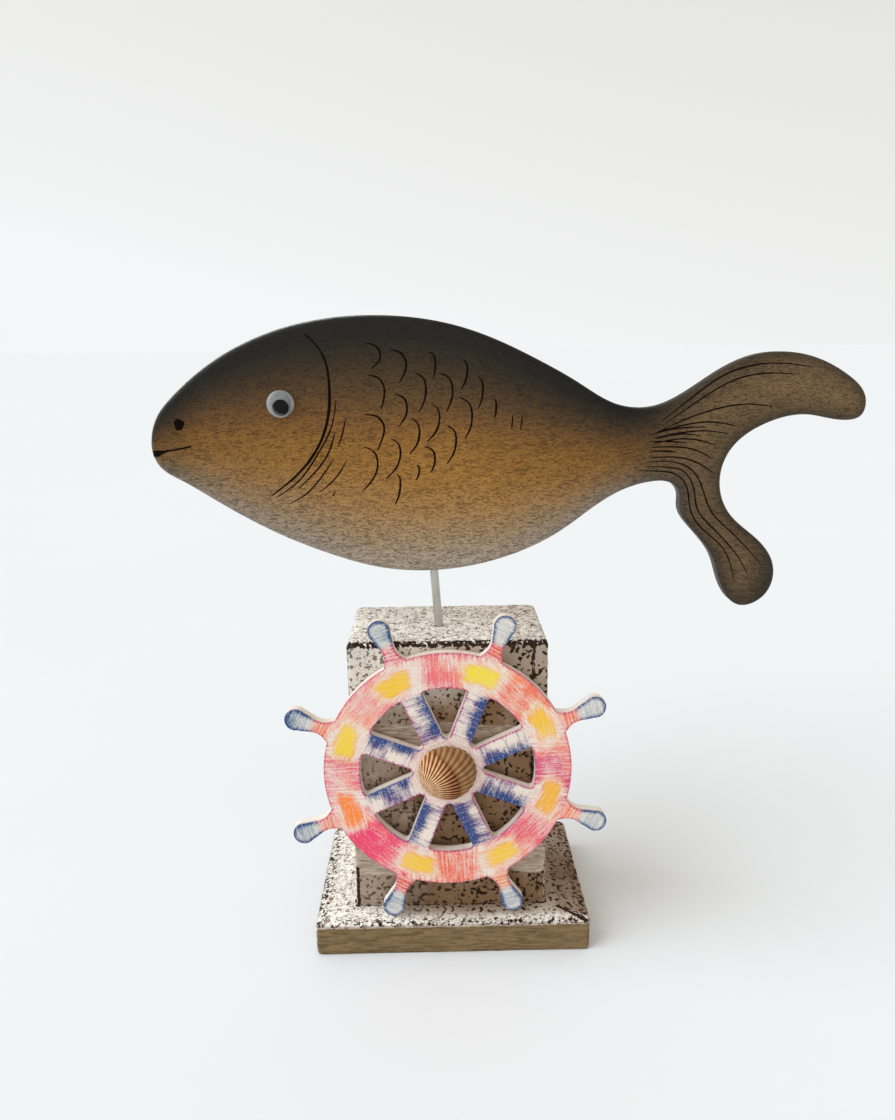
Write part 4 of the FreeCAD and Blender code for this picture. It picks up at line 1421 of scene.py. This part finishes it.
@dataclass
class ShipsWheel:
    """The plywood wheel: outline, crayon colours and the direction of the strokes."""

    centre: tuple[float, float, float] = (-1.2, -27.2, 70.3)
    lean: float = 1.5
    crayon_depth: float = 0.26
    turn: float = 1.5
    thick: float = 4.0
    outer: float = 43.5
    inner: float = 30.7
    spoke_half: float = 3.85
    apex_round: float = 1.5
    corner_round: float = 1.2
    reach: float = 60.0
    knob: float = 3.85
    spokes: int = 8

    def in_place(self, points: np.ndarray) -> np.ndarray:
        """Turns (right, up, off the back face) into the shared frame, leaning back on the post."""
        lean = math.radians(self.lean)
        up = np.array([0.0, math.sin(lean), math.cos(lean)])
        off = np.array([0.0, -math.cos(lean), math.sin(lean)])
        right = np.array([1.0, 0.0, 0.0])
        return np.asarray(self.centre) + points @ np.stack([right, up, off])

    def handle_side(self) -> np.ndarray:
        """One side of a handle about the x axis: a spline from the flared root to the knob."""
        ball = self.reach - self.knob
        leave = math.radians(118)
        ring = self.outer
        knots = ((ring - 1.5, 5.0), (ring + 0.9, 3.5), (ring + 3, 2.45), (ring + 5.6, 2.25),
                 (ring + 8.6, 2.95), (ball + self.knob * math.cos(leave), self.knob * math.sin(leave)))
        side = spline(knots, 60, False)
        return side[np.hypot(side[:, 0], side[:, 1]) > ring]

    def rim(self) -> np.ndarray:
        """The outer loop: eight handles joined by the ring's arcs."""
        upper = self.handle_side()
        lower = upper * [1, -1]
        tip = arc((self.reach - self.knob, 0), self.knob, -118, 118, 40)
        root = math.degrees(math.atan2(upper[0, 1], upper[0, 0]))
        step = 360 / self.spokes
        ring = arc((0, 0), self.outer, root, step - root, 60)[1:-1]
        one = np.vstack([lower, tip[1:-1], upper[::-1], ring])
        whole = np.vstack([spun(one, self.turn + step * (k + 0.5)) for k in range(self.spokes)])
        return even_along(whole, 1400, True)

    def gap(self, index: int) -> np.ndarray:
        """One opening, clockwise: round apex, straight sides, round corners and the ring's arc."""
        half = 180 / self.spokes
        along = np.array([math.cos(math.radians(half)), math.sin(math.radians(half))])
        into = np.array([along[1], -along[0]])
        reach = math.sqrt((self.inner - self.corner_round) ** 2 - (self.spoke_half + self.corner_round) ** 2)
        corner = along * reach + into * (self.spoke_half + self.corner_round)
        apex = ((self.spoke_half + self.apex_round) / math.sin(math.radians(half)), 0.0)
        bearing = math.degrees(math.atan2(corner[1], corner[0]))
        upper = np.vstack([arc(apex, self.apex_round, 180, 90 + half, 10),
                           arc(corner, self.corner_round, 90 + half, bearing, 12),
                           arc((0, 0), self.inner, bearing, 0, 20)])
        loop = np.vstack([upper, (upper * [1, -1])[::-1][1:-1]])
        return spun(even_along(loop, 130, True), self.turn + 2 * half * index)

    def zones(self, flat: np.ndarray) -> dict[str, np.ndarray]:
        """Polar places of flat points: radius, angle, the nearest spoke and the offset from it."""
        radius = np.hypot(flat[:, 0], flat[:, 1])
        angle = np.degrees(np.arctan2(flat[:, 1], flat[:, 0])) - self.turn
        step = 360 / self.spokes
        spoke = np.floor(angle / step) % self.spokes
        off = (angle % step) - step / 2
        across = radius * np.sin(np.radians(off))
        return {"radius": radius, "angle": angle % 360, "spoke": spoke.astype(int), "off": off,
                "across": across}

    def crayon(self, flat: np.ndarray, rim: np.ndarray) -> tuple[np.ndarray, np.ndarray]:
        """The pigment's colour and how closely it covers.

        The ring is red to pink opposite the openings and yellow across each spoke's end; spokes are
        hatched blue from one side, with a pink line on one edge and a blue one on the other; handles
        have red necks and blue-lined knobs.

        Args:
            flat: points on the wheel's own plane.
            rim: the points of all its edges.

        Returns:
            Linear colours, and coverage from 0 to 1.
        """
        zone = self.zones(flat)
        radius, off, across, spoke = zone["radius"], zone["off"], zone["across"], zone["spoke"]
        solid = np.column_stack([flat, flat[:, 0] * 0])
        drift = cloud(solid, 5.0, 17, 3)
        edge = clearance(flat, rim)
        opening = ((zone["angle"] + 22.5) // 45).astype(int) % 8
        pinks = colours_of("#DE4A78", "#F07556", "#EE6F7A", "#EF8583", "#E8637C", "#F0436E", "#F06248",
                           "#EC5A70")
        colour = pinks[opening]
        warm = smoothstep(-0.1, 0.6, cloud(solid, 9.0, 40, 2))[:, None] * 0.55
        colour = mixed(colour, colour_of("#FF9A62"), warm)
        cover = 0.80 + 0.42 * drift - 0.40 * (1.0 - smoothstep(6.0, 16.0, np.abs(off)))
        strong = np.array([0.06, 0.0, -0.06, -0.04, -0.08, 0.24, -0.08, 0.05])[opening]
        cover = cover + strong
        shift = np.array([3.0, 2.5, 5.0, 3.0, -3.0, 3.0, 6.0, 5.0])[spoke]
        yellow = bump_at(off - shift + 2.5 * drift, 0.0, 6.0, 8.5) * bump_at(radius + drift, 37.2, 1.8, 4.0)
        yellows = colours_of("#F9C53C", "#F8DE3A", "#F9C832", "#F7D43A", "#FF8A2E", "#FAC93F", "#FBCB42",
                             "#F8B634")[spoke]
        colour = mixed(colour, yellows, yellow[:, None])
        cover = np.maximum(cover * (1 - yellow * 0.6), yellow * (1.0 + 0.2 * drift))
        side = smoothstep(-1.6, 3.0, -across)
        on_spoke = 1 - smoothstep(self.inner - 1.0, self.inner + 0.8, radius)
        blue = colour_of("#0B4080")
        magenta = colour_of("#B0468E")
        spoke_colour = mixed(mixed(blue, magenta, 0.25), blue, side[:, None])
        spoke_cover = 0.34 + 0.72 * side + 0.7 * drift
        fade = bump_at(radius, 20.5, 6.5, 5.0)
        spoke_cover = spoke_cover * (0.4 + 0.6 * fade)
        hub = 1.0 - smoothstep(11.5, 15.0, radius + 1.5 * drift)
        spoke_colour = mixed(spoke_colour, colour_of("#D98A9A"), hub[:, None])
        spoke_cover = mixed(spoke_cover, 0.33, hub)
        colour = mixed(colour, spoke_colour, on_spoke[:, None])
        cover = mixed(cover, spoke_cover, on_spoke)
        neck = smoothstep(self.outer - 0.8, self.outer + 0.8, radius)
        knob = smoothstep(48.5, 51.0, radius + drift)
        strength = np.array([0.26, 0.1, 0.55, 0.98, 0.75, 0.4, 0.5, 0.36])[spoke]
        neck_colour = colours_of("#F0714E", "#E85A48", "#E0506A", "#F07A56", "#EE7A62", "#E4564A",
                                 "#F08A5A", "#F4764A")[spoke]
        line_in = 1.0 - smoothstep(0.35, 1.5, edge)
        inked = np.clip(strength * (0.5 + 0.7 * drift) + 0.8 * line_in, 0, 1)[:, None]
        knob_cover = 0.44 + 0.56 * inked[:, 0]
        knob_colour = mixed(colour_of("#A2BCC8"), colour_of("#17497F"), inked)
        handle_colour = mixed(neck_colour, knob_colour, knob[:, None])
        handle_cover = mixed(0.72 + 0.3 * drift, knob_cover, knob)
        colour = mixed(colour, handle_colour, neck[:, None])
        cover = mixed(cover, handle_cover, neck)
        pen = 0.8 * (1.0 - smoothstep(0.2, 0.75, edge + 0.15 * drift))
        ring_pen = colour_of("#C23E72")
        spoke_pen = np.where(across[:, None] > 0, colours_of("#C2417E"), colours_of("#3A3F8C"))
        knob_pen = colour_of("#1D3F7C")
        pen_colour = mixed(ring_pen, spoke_pen, on_spoke[:, None])
        pen_colour = mixed(pen_colour, knob_pen, (knob * neck)[:, None])
        colour = mixed(colour, pen_colour, pen[:, None])
        cover = np.maximum(cover, pen * 1.1)
        return colour, np.clip(cover, 0.0, 1.0)

    def lay_strokes(self, piece: bpy.types.Object, flat: np.ndarray) -> None:
        """Gives each face a UV in millimetres along and across its own crayon strokes.

        Strokes run out from the hub at the top, bottom and sides of the ring, round it in between,
        and straight across each spoke and handle.
        """
        mesh = piece.data
        corner_vertex = np.zeros(len(mesh.loops), np.int32)
        mesh.loops.foreach_get("vertex_index", corner_vertex)
        sizes = np.zeros(len(mesh.polygons), np.int32)
        mesh.polygons.foreach_get("loop_total", sizes)
        face_of = np.repeat(np.arange(len(sizes)), sizes)
        corner = flat[corner_vertex]
        middle = np.column_stack([np.bincount(face_of, corner[:, k]) / sizes for k in (0, 1)])
        zone = self.zones(middle)
        opening = ((zone["angle"] + 22.5) // 45).astype(int) % 8
        spoke_angle = (zone["spoke"] + 0.5) * 45 + self.turn
        opening_angle = opening * 45 + self.turn
        bearing = np.where(opening % 2 == 0, opening_angle, opening_angle + 90)
        yellow = (np.abs(zone["off"] - 3) < 10) & (np.abs(zone["radius"] - 37.2) < 4)
        bearing = np.where(yellow, spoke_angle + 78, bearing)
        inner = (zone["radius"] < self.inner) | (zone["radius"] > self.outer)
        bearing = np.where(inner, spoke_angle + 84, bearing)
        turn = np.radians(bearing)[face_of]
        along = corner[:, 0] * np.cos(turn) + corner[:, 1] * np.sin(turn)
        across = -corner[:, 0] * np.sin(turn) + corner[:, 1] * np.cos(turn)
        layer = mesh.uv_layers.new(name="strokes")
        layer.data.foreach_set("uv", np.column_stack([along, across]).astype(np.float32).ravel())

    def build(self) -> list[bpy.types.Object]:
        """Makes the wheel and lays its crayon on the front face."""
        loops = [self.rim(), *(self.gap(k) for k in range(self.spokes))]
        board = SawnBoard(loops, self.thick, 0.25, 2, 4, 0.65)
        points, faces = board.surface()
        flat, depth = points[:, :2], points[:, 2]
        placed = self.in_place(np.column_stack([flat, self.thick - depth]))
        edge = Mottled("primed_plywood_edge", "#EFE4D6", "#F7F1E8", (1.2, 1.2, 3.0), (0.6, 0.78),
                       bump_mm=0.08, tint="edge_tint")
        piece = put_mesh("wheel_board", placed, faces, [CrayonedBoard().make(), edge.make()], 45.0)
        colour, cover = self.crayon(flat, np.concatenate(loops))
        write_colour(piece, "pigment", colour)
        write_number(piece, "cover", cover)
        self.lay_strokes(piece, flat)
        stain = np.clip(cover * 0.5 * (1 - smoothstep(0.2, 1.6, depth)), 0, 1)[:, None]
        rub = smoothstep(0.2, 0.7, cloud(placed, (4.0, 4.0, 4.0), 52, 2))[:, None] * 0.35
        tint = (1 - stain) * (1 - rub) + stain * colour + rub * (1 - stain) * colour_of("#F3B9B4")
        write_colour(piece, "edge_tint", tint)
        deep = np.array([depth[face].max() for face in faces])
        wall = deep > self.crayon_depth
        piece.data.polygons.foreach_set("material_index", wall.astype(np.int32))
        return [piece]


@dataclass
class Cockle:
    """A cockle valve glued to the hub: rays from its beak to its margin, ribbed across."""

    wheel: ShipsWheel
    half: tuple[float, float] = (10.3, 9.8)
    rise: float = 8.6
    wall: float = 1.1
    beak: tuple[float, float] = (-9.05, -4.3)
    ribs: int = 24
    fan: tuple[float, float] = (-52.0, 110.0)
    growth: float = 13.2

    def rays(self) -> np.ndarray:
        """Ray angles in degrees, dense over the ribbed fan and sparse behind the beak."""
        return np.concatenate([np.linspace(self.fan[0], self.fan[1], 380, endpoint=False),
                               np.linspace(self.fan[1], self.fan[0] + 360, 90, endpoint=False)])

    def shape(self) -> tuple[np.ndarray, np.ndarray, np.ndarray]:
        """The outer skin on a grid of rays and steps.

        A point runs from the beak to the margin's ellipse along its ray. Its height is the half
        ellipsoid's, and ribs, a terrace and fine scales swell it away from the middle.

        Returns:
            Points, distance from the beak, and the ribs' wave.
        """
        angle = self.rays()
        step = np.linspace(0.0, 1.0, 72)[1:] ** 0.9
        a, b = self.half
        direction = np.column_stack([np.cos(np.radians(angle)), np.sin(np.radians(angle))])
        start = np.asarray(self.beak)
        qa = (direction[:, 0] / a) ** 2 + (direction[:, 1] / b) ** 2
        qb = 2 * (direction[:, 0] * start[0] / a**2 + direction[:, 1] * start[1] / b**2)
        qc = (start[0] / a) ** 2 + (start[1] / b) ** 2 - 1
        far = (-qb + np.sqrt(qb**2 - 4 * qa * qc)) / (2 * qa)
        distance = far[:, None] * step[None]
        flat = start + direction[:, None, :] * distance[:, :, None]
        level = np.clip(1 - (flat[..., 0] / a) ** 2 - (flat[..., 1] / b) ** 2, 0.0, 1.0)
        height = self.rise * np.sqrt(level)
        beak = 0.9 * np.exp(-((distance / 2.6) ** 2))
        part = (angle - self.fan[0]) / (self.fan[1] - self.fan[0]) * self.ribs
        wave = np.abs(np.sin(math.pi * part)) ** 0.75
        wave = np.where(angle < self.fan[1], wave, 0.8)[:, None] * np.ones_like(distance)
        size = np.clip(distance / 14.0, 0.12, 1.0)
        scales = np.abs(np.sin(distance * 4.6 + 0.6 * np.sin(angle / 9.0)[:, None])) * wave
        terrace = 0.22 * (1 - smoothstep(self.growth - 0.25, self.growth + 0.35, distance))
        swell = 0.5 * size * (wave - 0.75) + 0.1 * size * scales + terrace - 0.28
        skin = np.dstack([flat, height + beak])
        away = skin + np.array([0.0, 0.0, 0.6])
        away /= np.linalg.norm(away, axis=2, keepdims=True)
        return skin + away * swell[:, :, None], distance, wave

    def colours(self, distance: np.ndarray, wave: np.ndarray, skin: np.ndarray) -> np.ndarray:
        """Cream ribs, red-brown furrows inside the growth line, greyish tan beyond it."""
        old = 1 - smoothstep(self.growth - 0.3, self.growth + 0.5, distance)
        rib = ramp(np.clip(distance / 19.0, 0, 1), ((0.0, "#F8E4C4"), (0.3, "#F4D2A8"), (0.6, "#DFB487"),
                                                    (0.75, "#B08C62"), (1.0, "#A88B66")))
        rightward = smoothstep(-4.0, 3.0, skin[..., 0]) * smoothstep(4.5, 9.0, distance)
        furrow = ramp(rightward * old, ((0.0, "#8A4A1C"), (1.0, "#4E1803")))
        wear_and_highlight = 1 - (rightward * old)[..., None] * np.array([0.38, 0.58, 0.7])
        depth = (1 - smoothstep(0.62, 0.98, wave))[..., None] * (0.62 + 0.38 * old[..., None])
        beads = 0.5 + 0.5 * np.cos(2 * math.pi * distance / 0.68)
        colour = rib * wear_and_highlight * (1 - depth) + furrow * depth
        band = bump_at(distance, self.growth + 0.25, 0.12, 0.3)[..., None]
        stripes = 1 + 0.1 * np.sin(distance * 2.1 + 1.0)[..., None] + 0.42 * (beads[..., None] - 0.5)
        return colour * stripes * (1 - 0.35 * band)

    def build(self) -> list[bpy.types.Object]:
        """Makes the valve with its inner wall, closed at beak and margin."""
        skin, distance, wave = self.shape()
        rays, steps = distance.shape
        outer = skin.transpose(1, 0, 2).reshape(-1, 3)
        share = (np.array(self.half) - self.wall) / np.array(self.half)
        inner_step = np.linspace(1.0, 0.0, 14, endpoint=False)
        rim = skin[:, -1, :2] * share
        inside_flat = inner_step[:, None, None] * rim[None]
        level = np.clip(1 - inner_step**2, 0, 1)[:, None] * np.ones(rays)
        inside_rise = (self.rise - self.wall) * np.sqrt(level)
        inner = np.dstack([inside_flat, inside_rise]).reshape(-1, 3)
        poles = np.array([[*self.beak, outer[:rays, 2].max()], [0.0, 0.0, self.rise - self.wall]])
        local = np.vstack([outer, inner, poles])
        local[:, 2] = np.maximum(local[:, 2], 0.0) + self.wheel.thick + 0.05
        number = np.arange((steps + len(inner_step)) * rays).reshape(-1, rays)
        faces: list = []
        for low, high in zip(number[:-1], number[1:]):
            faces += ring_faces(low, high)
        for ring, pole in ((number[0], len(local) - 2), (number[-1], len(local) - 1)):
            faces += np.column_stack([ring, np.roll(ring, -1), np.full(rays, pole)]).tolist()
        finish = Mottled("cockle_shell_unpolished", "#E8DCC8", "#FFFFFF", (0.9, 0.9, 0.9), (0.46, 0.66),
                         bump_mm=0.03, tint="growth", specular=0.25)
        piece = put_mesh("cockle_valve", self.wheel.in_place(local), faces, [finish.make()], 80.0)
        tone = self.colours(distance, wave, skin).transpose(1, 0, 2).reshape(-1, 3)
        plain = np.tile(colour_of("#E8D6BC"), (len(inner), 1))
        write_colour(piece, "growth", np.vstack([tone, plain, tone[:1], plain[:1]]))
        return [piece]


# ---------------------------------------------------------------- hidden pieces, stage and camera


def dress_cad_node(name: str, finish: Mottled) -> None:
    """Gives a carried-over CAD node its material."""
    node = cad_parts[name]
    node.data.materials.clear()
    node.data.materials.append(finish.make())


@dataclass
class Studio:
    """A pale floor, soft light from the upper left, and the camera."""

    floor_size: float = 60.0
    eye: tuple[float, float, float] = (-4.33, -315.99, 216.49)
    lens_mm: float = 28.55
    sensor_mm: float = 36.0
    yaw: float = 0.787
    down: float = 13.76
    roll: float = 0.711
    fill: float = 0.72
    window_from: tuple[float, float, float] = (-0.85, -0.3, 0.72)
    window_power: float = 2.15
    window_spread: float = 55.0

    def floor(self) -> bpy.types.Object:
        """A wide pale sheet with a faint unevenness."""
        half = self.floor_size / MM / 2
        t = np.linspace(-1.0, 1.0, 9)
        grid_x, grid_y = np.meshgrid(t * half, t * half)
        points = np.column_stack([grid_x.ravel(), grid_y.ravel(), np.full(81, -0.02)])
        number = np.arange(81).reshape(9, 9)
        quads = np.stack([number[:-1, :-1], number[:-1, 1:], number[1:, 1:], number[1:, :-1]], axis=-1)
        paper = Mottled("matt_white_card", "#EFF5FC", "#F1F6FC", (300.0, 300.0, 300.0), (0.85, 0.9),
                        bump_mm=0.001)
        sheet = put_mesh("floor", points, quads.reshape(-1, 4).tolist(), [paper.make()])
        if sheet.data.polygons[0].normal.z < 0:
            sheet.data.flip_normals()
        return sheet

    def world(self) -> None:
        """A pale sky, a little darker and warmer overhead, that also fills the shadows."""
        world = bpy.data.worlds.new("soft_room")
        bpy.context.scene.world = world
        world.use_nodes = True
        tree = world.node_tree
        tree.nodes.clear()
        place = add_node(tree, "ShaderNodeTexCoord").outputs["Generated"]
        parts = add_node(tree, "ShaderNodeSeparateXYZ", None, {0: place})
        corner = add_node(tree, "ShaderNodeMath", {"operation": "MULTIPLY_ADD"},
                          {0: parts.outputs[0], 1: 0.25, 2: parts.outputs[2]})
        rise = add_node(tree, "ShaderNodeMapRange", None, {"Value": corner.outputs[0], 1: 0.0, 2: 0.5})
        backdrop = add_node(tree, "ShaderNodeMix", RGB,
                            {0: rise.outputs[0], 6: linear("#F4F6F7"), 7: linear("#E1E0DA")})
        seen = add_node(tree, "ShaderNodeLightPath").outputs["Is Camera Ray"]
        sky = add_node(tree, "ShaderNodeMix", RGB,
                       {0: seen, 6: linear("#F6EDDF"), 7: backdrop.outputs[2]})
        strength = add_node(tree, "ShaderNodeMapRange", None, {"Value": seen, 3: self.fill, 4: 1.0})
        glow = add_node(tree, "ShaderNodeBackground", None,
                        {"Color": sky.outputs[2], "Strength": strength.outputs[0]})
        add_node(tree, "ShaderNodeOutputWorld", None, {"Surface": glow.outputs[0]})

    def window(self) -> None:
        """A very wide, soft sun from the upper left, a little in front."""
        data = bpy.data.lights.new("window_light", "SUN")
        data.angle = math.radians(self.window_spread)
        data.energy = self.window_power
        data.color = linear("#EEF7FF")[:3]
        lamp = bpy.data.objects.new("window_light", data)
        lamp.rotation_euler = (-Vector(self.window_from)).to_track_quat("-Z", "Y").to_euler()
        bpy.context.scene.collection.objects.link(lamp)

    def camera(self) -> None:
        """Sets the camera: turned right by the yaw, pitched down, then rolled."""
        yaw, down, roll = (math.radians(v) for v in (self.yaw, self.down, self.roll))
        right = Vector((math.cos(yaw), -math.sin(yaw), 0.0))
        ahead = Vector((math.sin(yaw) * math.cos(down), math.cos(yaw) * math.cos(down), -math.sin(down)))
        above = right.cross(ahead)
        x_axis = right * math.cos(roll) - above * math.sin(roll)
        y_axis = right * math.sin(roll) + above * math.cos(roll)
        data = bpy.data.cameras.new("camera")
        data.sensor_width = self.sensor_mm
        data.lens = self.lens_mm
        data.clip_start, data.clip_end = 0.01, 100.0
        camera = bpy.data.objects.new("camera", data)
        turn = Matrix((x_axis, y_axis, -ahead)).transposed().to_4x4()
        camera.matrix_world = Matrix.Translation(Vector(self.eye) * MM) @ turn
        bpy.context.scene.collection.objects.link(camera)
        bpy.context.scene.camera = camera

    def build(self) -> None:
        """Sets the whole stage."""
        bpy.context.scene.view_settings.view_transform = "Standard"
        self.floor()
        self.world()
        self.window()
        self.camera()


def report(pieces: Sequence[bpy.types.Object], body: Body, slot: str, *nodes: str) -> None:
    """Lets pieces ride on a body, hides the CAD nodes they stand for, and logs them."""
    for piece in pieces:
        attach(piece, body.value)
        LOG.info("%s: %d faces, rides on %s", piece.name, len(piece.data.polygons), body.value)
    for node in nodes:
        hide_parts(node)


def main() -> None:
    """Builds every sub-assembly in order."""
    logging.basicConfig(level=logging.INFO, format="%(name)s: %(message)s")
    Studio().build()
    base, post, rod = Stand().build()
    report([base], Body.ORNAMENT, "distressed_paint_base", "base_plate")
    report([post], Body.ORNAMENT, "distressed_paint_post", "post")
    report([rod], Body.ORNAMENT, "satin_steel_rod", "support_rod")
    board, ink = Fish().build()
    report([board], Body.ORNAMENT, "stained_fish", "fish_body")
    report([ink], Body.ORNAMENT, "stained_fish")
    back, cover, pupil = Eye().build()
    report([back], Body.ORNAMENT, "white_eye", "eye_backing")
    report([cover], Body.ORNAMENT, "clear_dome", "eye_dome")
    report([pupil], Body.PUPIL, "black_pupil", "eye_pupil")
    wheel = ShipsWheel()
    report(wheel.build(), Body.ORNAMENT, "crayoned_wheel", "ships_wheel")
    report(Cockle(wheel).build(), Body.ORNAMENT, "cockle", "cockle_shell")
    dress_cad_node("post_screws", Mottled("zinc_plated_steel", "#B9BDC0", "#A3A7AB", (3.0, 3.0, 3.0),
                                          (0.3, 0.45), metallic=1.0, bump_mm=0.02))
    for name in ("wheel_glue", "shell_glue"):
        dress_cad_node(name, Mottled("dried_clear_glue_" + name, "#D9D6CC", "#E8E6DF", (2.5, 2.5, 2.5),
                                     (0.2, 0.35), ior=1.47, bump_mm=0.1))


if __name__ == "__main__":
    main()
